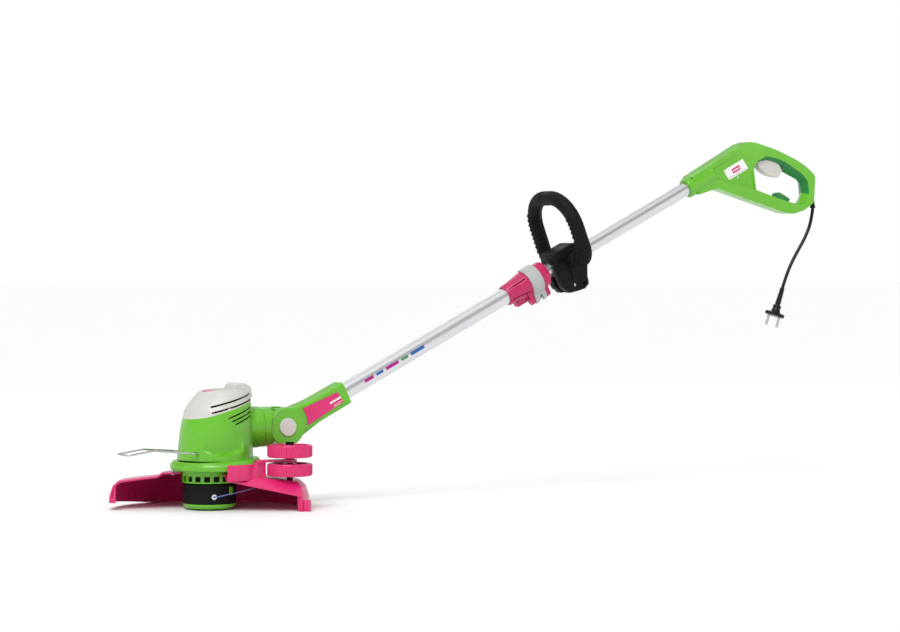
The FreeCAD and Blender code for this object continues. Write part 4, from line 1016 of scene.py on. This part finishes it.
# %% A tree for finger ribs along a path
def finger_tree():
    tree, given, result = new_tree("ribs_along_a_path", [("From", "Float"), ("To", "Float"), ("Spacing", "Float"),
                                                         ("Grip", "Float"), ("Rib", "Float"), ("Facing", "Vector"),
                                                         ("Finish", "Material")])
    path = wired(tree, "GeometryNodeMeshToCurve", {"Mesh": (given, "Geometry")})
    part = wired(tree, "GeometryNodeTrimCurve", {"Curve": (path, "Curve")}, mode="FACTOR")
    for socket, label in ((part.inputs[2], "From"), (part.inputs[3], "To")):
        tree.links.new(given.outputs[label], socket)
    marks = wired(tree, "GeometryNodeCurveToPoints", {"Curve": (part, "Curve")}, mode="LENGTH")
    tree.links.new(given.outputs["Spacing"], [s for s in marks.inputs if s.name == "Length"][0])
    upright = wired(tree, "FunctionNodeAlignRotationToVector", {"Vector": (marks, "Tangent")}, axis="Z")
    faced = wired(tree, "FunctionNodeAlignRotationToVector", {"Rotation": (upright, "Rotation"),
                                                              "Vector": (given, "Facing")}, axis="X", pivot_axis="Z")
    arc = wired(tree, "GeometryNodeCurveArc", {"Resolution": 14, "Radius": (given, "Grip"),
                                               "Start Angle": math.radians(-80), "Sweep Angle": math.radians(160)})
    section = wired(tree, "GeometryNodeCurvePrimitiveCircle", {"Resolution": 8, "Radius": (given, "Rib")})
    rib = wired(tree, "GeometryNodeCurveToMesh", {"Curve": (arc, "Curve"), "Profile Curve": (section, "Curve"),
                                                  "Fill Caps": True})
    spread = wired(tree, "GeometryNodeInstanceOnPoints", {"Points": (marks, "Points"), "Instance": (rib, "Mesh"),
                                                          "Rotation": (faced, "Rotation")})
    real = wired(tree, "GeometryNodeRealizeInstances", {"Geometry": (spread, "Instances")})
    dressed = wired(tree, "GeometryNodeSetMaterial", {"Geometry": (real, "Geometry"), "Material": (given, "Finish")})
    tree.links.new(dressed.outputs["Geometry"], result.inputs["Geometry"])
    return tree


# %% The loop, its two eyes and its ribs
grip = raw("loop_tube", tube(loop_path, lambda place: 12.3))
eyes = [raw("eye", lathe([(8.05, 22.6), (14, 22.6), (15, 24, 1), (15, 34.5, 2.5), (13, 36.9, 1), (8.05, 36.9)]),
            moved(LOOP_S) @ turned(angle, "X")) for angle in (90, -90)]
gap = raw("gap", box((LOOP_S - 30, -22.4, -30), (LOOP_S + 30, 22.4, 30)))
pivots = raw("pivots", lathe([(0, -60), (8.05, -60), (8.05, 60), (0, 60)], count=48),
             moved(LOOP_S) @ turned(90, "X"))
caps = [raw("cap_seat", lathe([(0, 36.9), (9.5, 36.9), (9.5, 60), (0, 60)], count=48),
            moved(LOOP_S) @ turned(angle, "X")) for angle in (90, -90)]
combined(grip, eyes, "UNION")
combined(grip, [gap, pivots] + caps)
piece(grip, "black_rubber", "loop_handle", ["loop_grip"], smooth=40, matrix=SHAFT)

for name, start, end in (("finger_ribs_near", 0.035, 0.285), ("finger_ribs_far", 0.70, 0.965)):
    bm = bmesh.new()
    line = [bm.verts.new(p) for p in loop_path]
    for a, b in zip(line, line[1:]):
        bm.edges.new((a, b))
    ribs = raw(name, bm)
    grown(ribs, finger_tree(), {"From": start, "To": end, "Spacing": 7.6, "Grip": 12.1, "Rib": 1.7,
                                "Facing": (-1.0, 0.0, 0.0), "Finish": finishes["black_rubber"]})
    piece(ribs, None, "loop_handle", matrix=SHAFT)

# %% [markdown]
# ## Clamp of the front grip
# The clamp is a moulded saddle on the tube with two cheeks below it.  A bolt and a pink knob pinch the cheeks, and
# a hole through their lower corner takes a carrying strap.

# %% Saddle, caps and knob
SADDLE = [(572, 26, 6), (620, 26, 9), (628, 12, 6), (628, -20, 8), (619.5, -38, 6), (616.5, -51, 7), (605, -55, 6),
          (588, -51.5, 6), (575, -48, 5), (567.5, -34, 5), (567.5, 8, 8)]
saddle = raw("clamp_body", slab(rounded(SADDLE, 5), -22, 22, rim=3.0, steps=3))
cheeks = raw("cheeks", slab([Vector(p) for p in ((560, -60), (636, -60), (636, -14), (560, -14))], -6, 6))
tube_way = raw("tube_way", lathe([(0, 540), (12.05, 540), (12.05, 660), (0, 660)], count=64), turned(90, "Y"))
bolt_way = raw("bolt_way", lathe([(0, -60), (3, -60), (3, 60), (0, 60)], count=32),
               moved(590, 0, -40) @ turned(90, "X"))
strap = raw("strap_hole", lathe([(0, -60), (2.5, -60), (2.5, 60), (0, 60)], count=32),
            moved(607, 0, -45) @ turned(90, "X"))
CHEEK_HOLLOW = [(577, 12, 4), (592, 12, 4), (592, -30, 4), (577, -26, 4)]
hollows = [raw("hollow", slab(rounded(CHEEK_HOLLOW), *sorted((s * 19.5, s * 30))))
           for s in (-1, 1)]
combined(saddle, [cheeks, tube_way, bolt_way, strap] + hollows)
trunnions = [raw("trunnion", lathe([(0, 20), (8, 20), (8, 37), (0, 37)], count=48), moved(LOOP_S) @ turned(a, "X"))
             for a in (90, -90)]
combined(saddle, trunnions, "UNION")
softened(saddle, 0.5, 35)
piece(saddle, "black_plastic", "grip_clamp", ["clamp_saddle"], matrix=SHAFT)
for place, angle in enumerate((90, -90)):
    cap = raw(f"loop_cap_{place}", lathe([(0, 37), (9, 37), (9, 39.2, 1), (7.4, 40.4, 1), (3.4, 40.4), (3, 39.4),
                                          (0, 39.4)], count=48), moved(LOOP_S) @ turned(angle, "X"))
    piece(cap, "shiny_black_plastic", "grip_clamp", ["loop_screws"] if not place else (), matrix=SHAFT)


def knob_section(angle):
    lobe = math.cos(6 * angle)
    return [(3, 0.3), (12.4 + 1.1 * lobe, 0.3), (12.9 + 1.3 * lobe, 2), (12.4 + 1.5 * lobe, 13),
            (10.6 + 1.0 * lobe, 15.6), (6, 16.0), (3, 16.0)]


knob = raw("clamp_wing", around(knob_section, count=72),
           moved(590, 22, -40) @ turned(-90, "X"))
piece(knob, "pink_plastic", "clamp_knob", ["clamp_knob"], matrix=SHAFT)

# %% [markdown]
# ## Tube collar
# A split pink sleeve squeezes the lower tube on the upper one when its grey lever is shut.  It widens upward,
# with shallow panels in its side and a slot where the split can close.

# %% Collar sleeve
def sleeve_section(angle):
    waist = 18.4 + 0.5 * abs(math.cos(angle))
    return [(14.0, 469), (16.9, 469), (17.6, 470.2), (waist, 486), (20.6, 498), (22.3, 508), (22.5, 511.4),
            (22.5, 536), (22.6, 547), (22.2, 551.4), (21.2, 553), (12.3, 553), (12.3, 489), (14, 489)]


sleeve = raw("collar_sleeve", around(sleeve_section, count=96), turned(90, "Y"))
slots = [raw("split", box((494, -30, -21), (506, -17.2, -18.2))),
         raw("gap", box((498.8, -30, -23), (501.4, -14, -8)))]
grooves = [raw("groove", box((472, -1, 16.5), (508, 1, 30)), turned(a, "X")) for a in (52, 118)]
combined(sleeve, slots + grooves)
ACROSS_SHAFT = Matrix(((0, -1, 0, 0), (0, 0, 1, 0), (-1, 0, 0, 0), (0, 0, 0, 1)))
LUG = [(16, -15), (31, -15.5, 5), (36.5, -10, 5), (31, -4.5, 5), (20, 8)]
lugs = [raw("lug", slab(rounded(LUG, 4), -start - 8, -start, rim=0.6), ACROSS_SHAFT) for start in (503, 536)]
brace = raw("brace", slab(rounded([(15, -9), (27, -7, 3), (27, 7, 3), (15, 9)]), -500, -481, rim=1.5), ACROSS_SHAFT)
combined(sleeve, lugs + [brace], "UNION")
pin_way = raw("pin_way", lathe([(0, 490), (2.5, 490), (2.5, 560), (0, 560)], count=32),
              moved(0, -10, -31) @ turned(90, "Y"))
combined(sleeve, [pin_way])
softened(sleeve, 0.45, 38)
piece(sleeve, "collar_pink_plastic", "lower_shaft", ["collar_clamp"], matrix=SHAFT)

# %% [markdown]
# ## Plug and strain relief
# The strain relief at the handle is a tapered sleeve with a collar.  The moulded plug has its own ribbed relief,
# a waisted body and an oval flange to pull it by.

# %% The sleeve at the handle
GLAND_TOP, GLAND_MOUTH = Vector((1187.3, 0, 519.0)), Vector((1190.4, 0, 486.3))
hang = GLAND_MOUTH - GLAND_TOP
to_gland = Matrix.Translation(GLAND_TOP) @ Vector((0, 0, 1)).rotation_difference(hang).to_matrix().to_4x4()
long = hang.length
gland = raw("cord_sleeve", lathe([(0, 0), (2.7, 0, 0.5), (3.5, long * 0.5), (4.2, long - 3.4), (5.1, long - 2.6, 0.5),
                                  (5.1, long - 0.3, 0.6), (3.1, long), (0, long)], count=40), to_gland)
stub = raw("stub", box((1176, -3, 511), (1188, 3, 517)))
combined(gland, [stub], "UNION")
piece(softened(gland, 0.3, 40), "black_rubber", "upper_shaft", ["cord_gland"], matrix=WORLD)

# %% The plug
tip, before = Vector(CORD_ROUTE[-1]) * 1000, Vector(CORD_ROUTE[-2]) * 1000
heading = (tip - before).normalized()
across = Vector((-heading.z, 0, heading.x)).normalized()
PLUG_TURN = math.radians(30)
wide_way = across * math.cos(PLUG_TURN) + Vector((0, -1, 0)) * math.sin(PLUG_TURN)
to_plug = Matrix.Translation(tip) @ Matrix((wide_way, heading.cross(wide_way), heading)).transposed().to_4x4()
relief = [(0, 0), (3.6, 0)]
for place in range(7):
    low = 1.0 + place * 4.4
    thick = 3.9 + place * 0.16
    relief += [(thick, low), (thick + 0.5, low + 0.4), (thick + 0.5, low + 2.4), (thick, low + 2.8),
               (thick - 0.6, low + 3.2), (thick - 0.6, low + 4.0)]
relief += [(5.0, 33), (7.6, 33.4, 0.5), (7.6, 36.6, 0.8), (6.6, 37.2), (7.4, 41, 3), (9.6, 47.4), (9.6, 49), (0, 49)]
plug = raw("plug_moulding", lathe(relief, count=48))
flange_loop = [Vector((17.6 * math.copysign(abs(math.cos(a)) ** 0.8, math.cos(a)),
                       10.0 * math.copysign(abs(math.sin(a)) ** 0.9, math.sin(a))))
               for a in (2 * math.pi * i / 48 for i in range(48))]
flange_mould = raw("plug_flange", slab(flange_loop, -52.5, -47, rim=1.4), turned(-90, "X"))
combined(plug, [flange_mould], "UNION")
piece(softened(plug, 0.25, 40), "shiny_black_plastic", "upper_shaft", ["plug_body"], smooth=40,
      matrix=WORLD @ to_plug)

# %% Floor
FLOOR_HALF = 30.0
floor_mesh = bpy.data.meshes.new("floor")
floor_mesh.from_pydata([(x * FLOOR_HALF, y * FLOOR_HALF, 0) for x, y in ((-1, -1), (1, -1), (1, 1), (-1, 1))],
                       [], [(0, 1, 2, 3)])
floor = bpy.data.objects.new("floor", floor_mesh)
bpy.context.scene.collection.objects.link(floor)
floor_finish = Finish("floor_white", (0.93, 0.93, 0.93), 0.9)
floor_finish.join(floor_finish.ranged(floor_finish.noise(3.0), 0.85, 0.95), floor_finish.shader.inputs["Roughness"])
floor_mesh.materials.append(floor_finish.material)
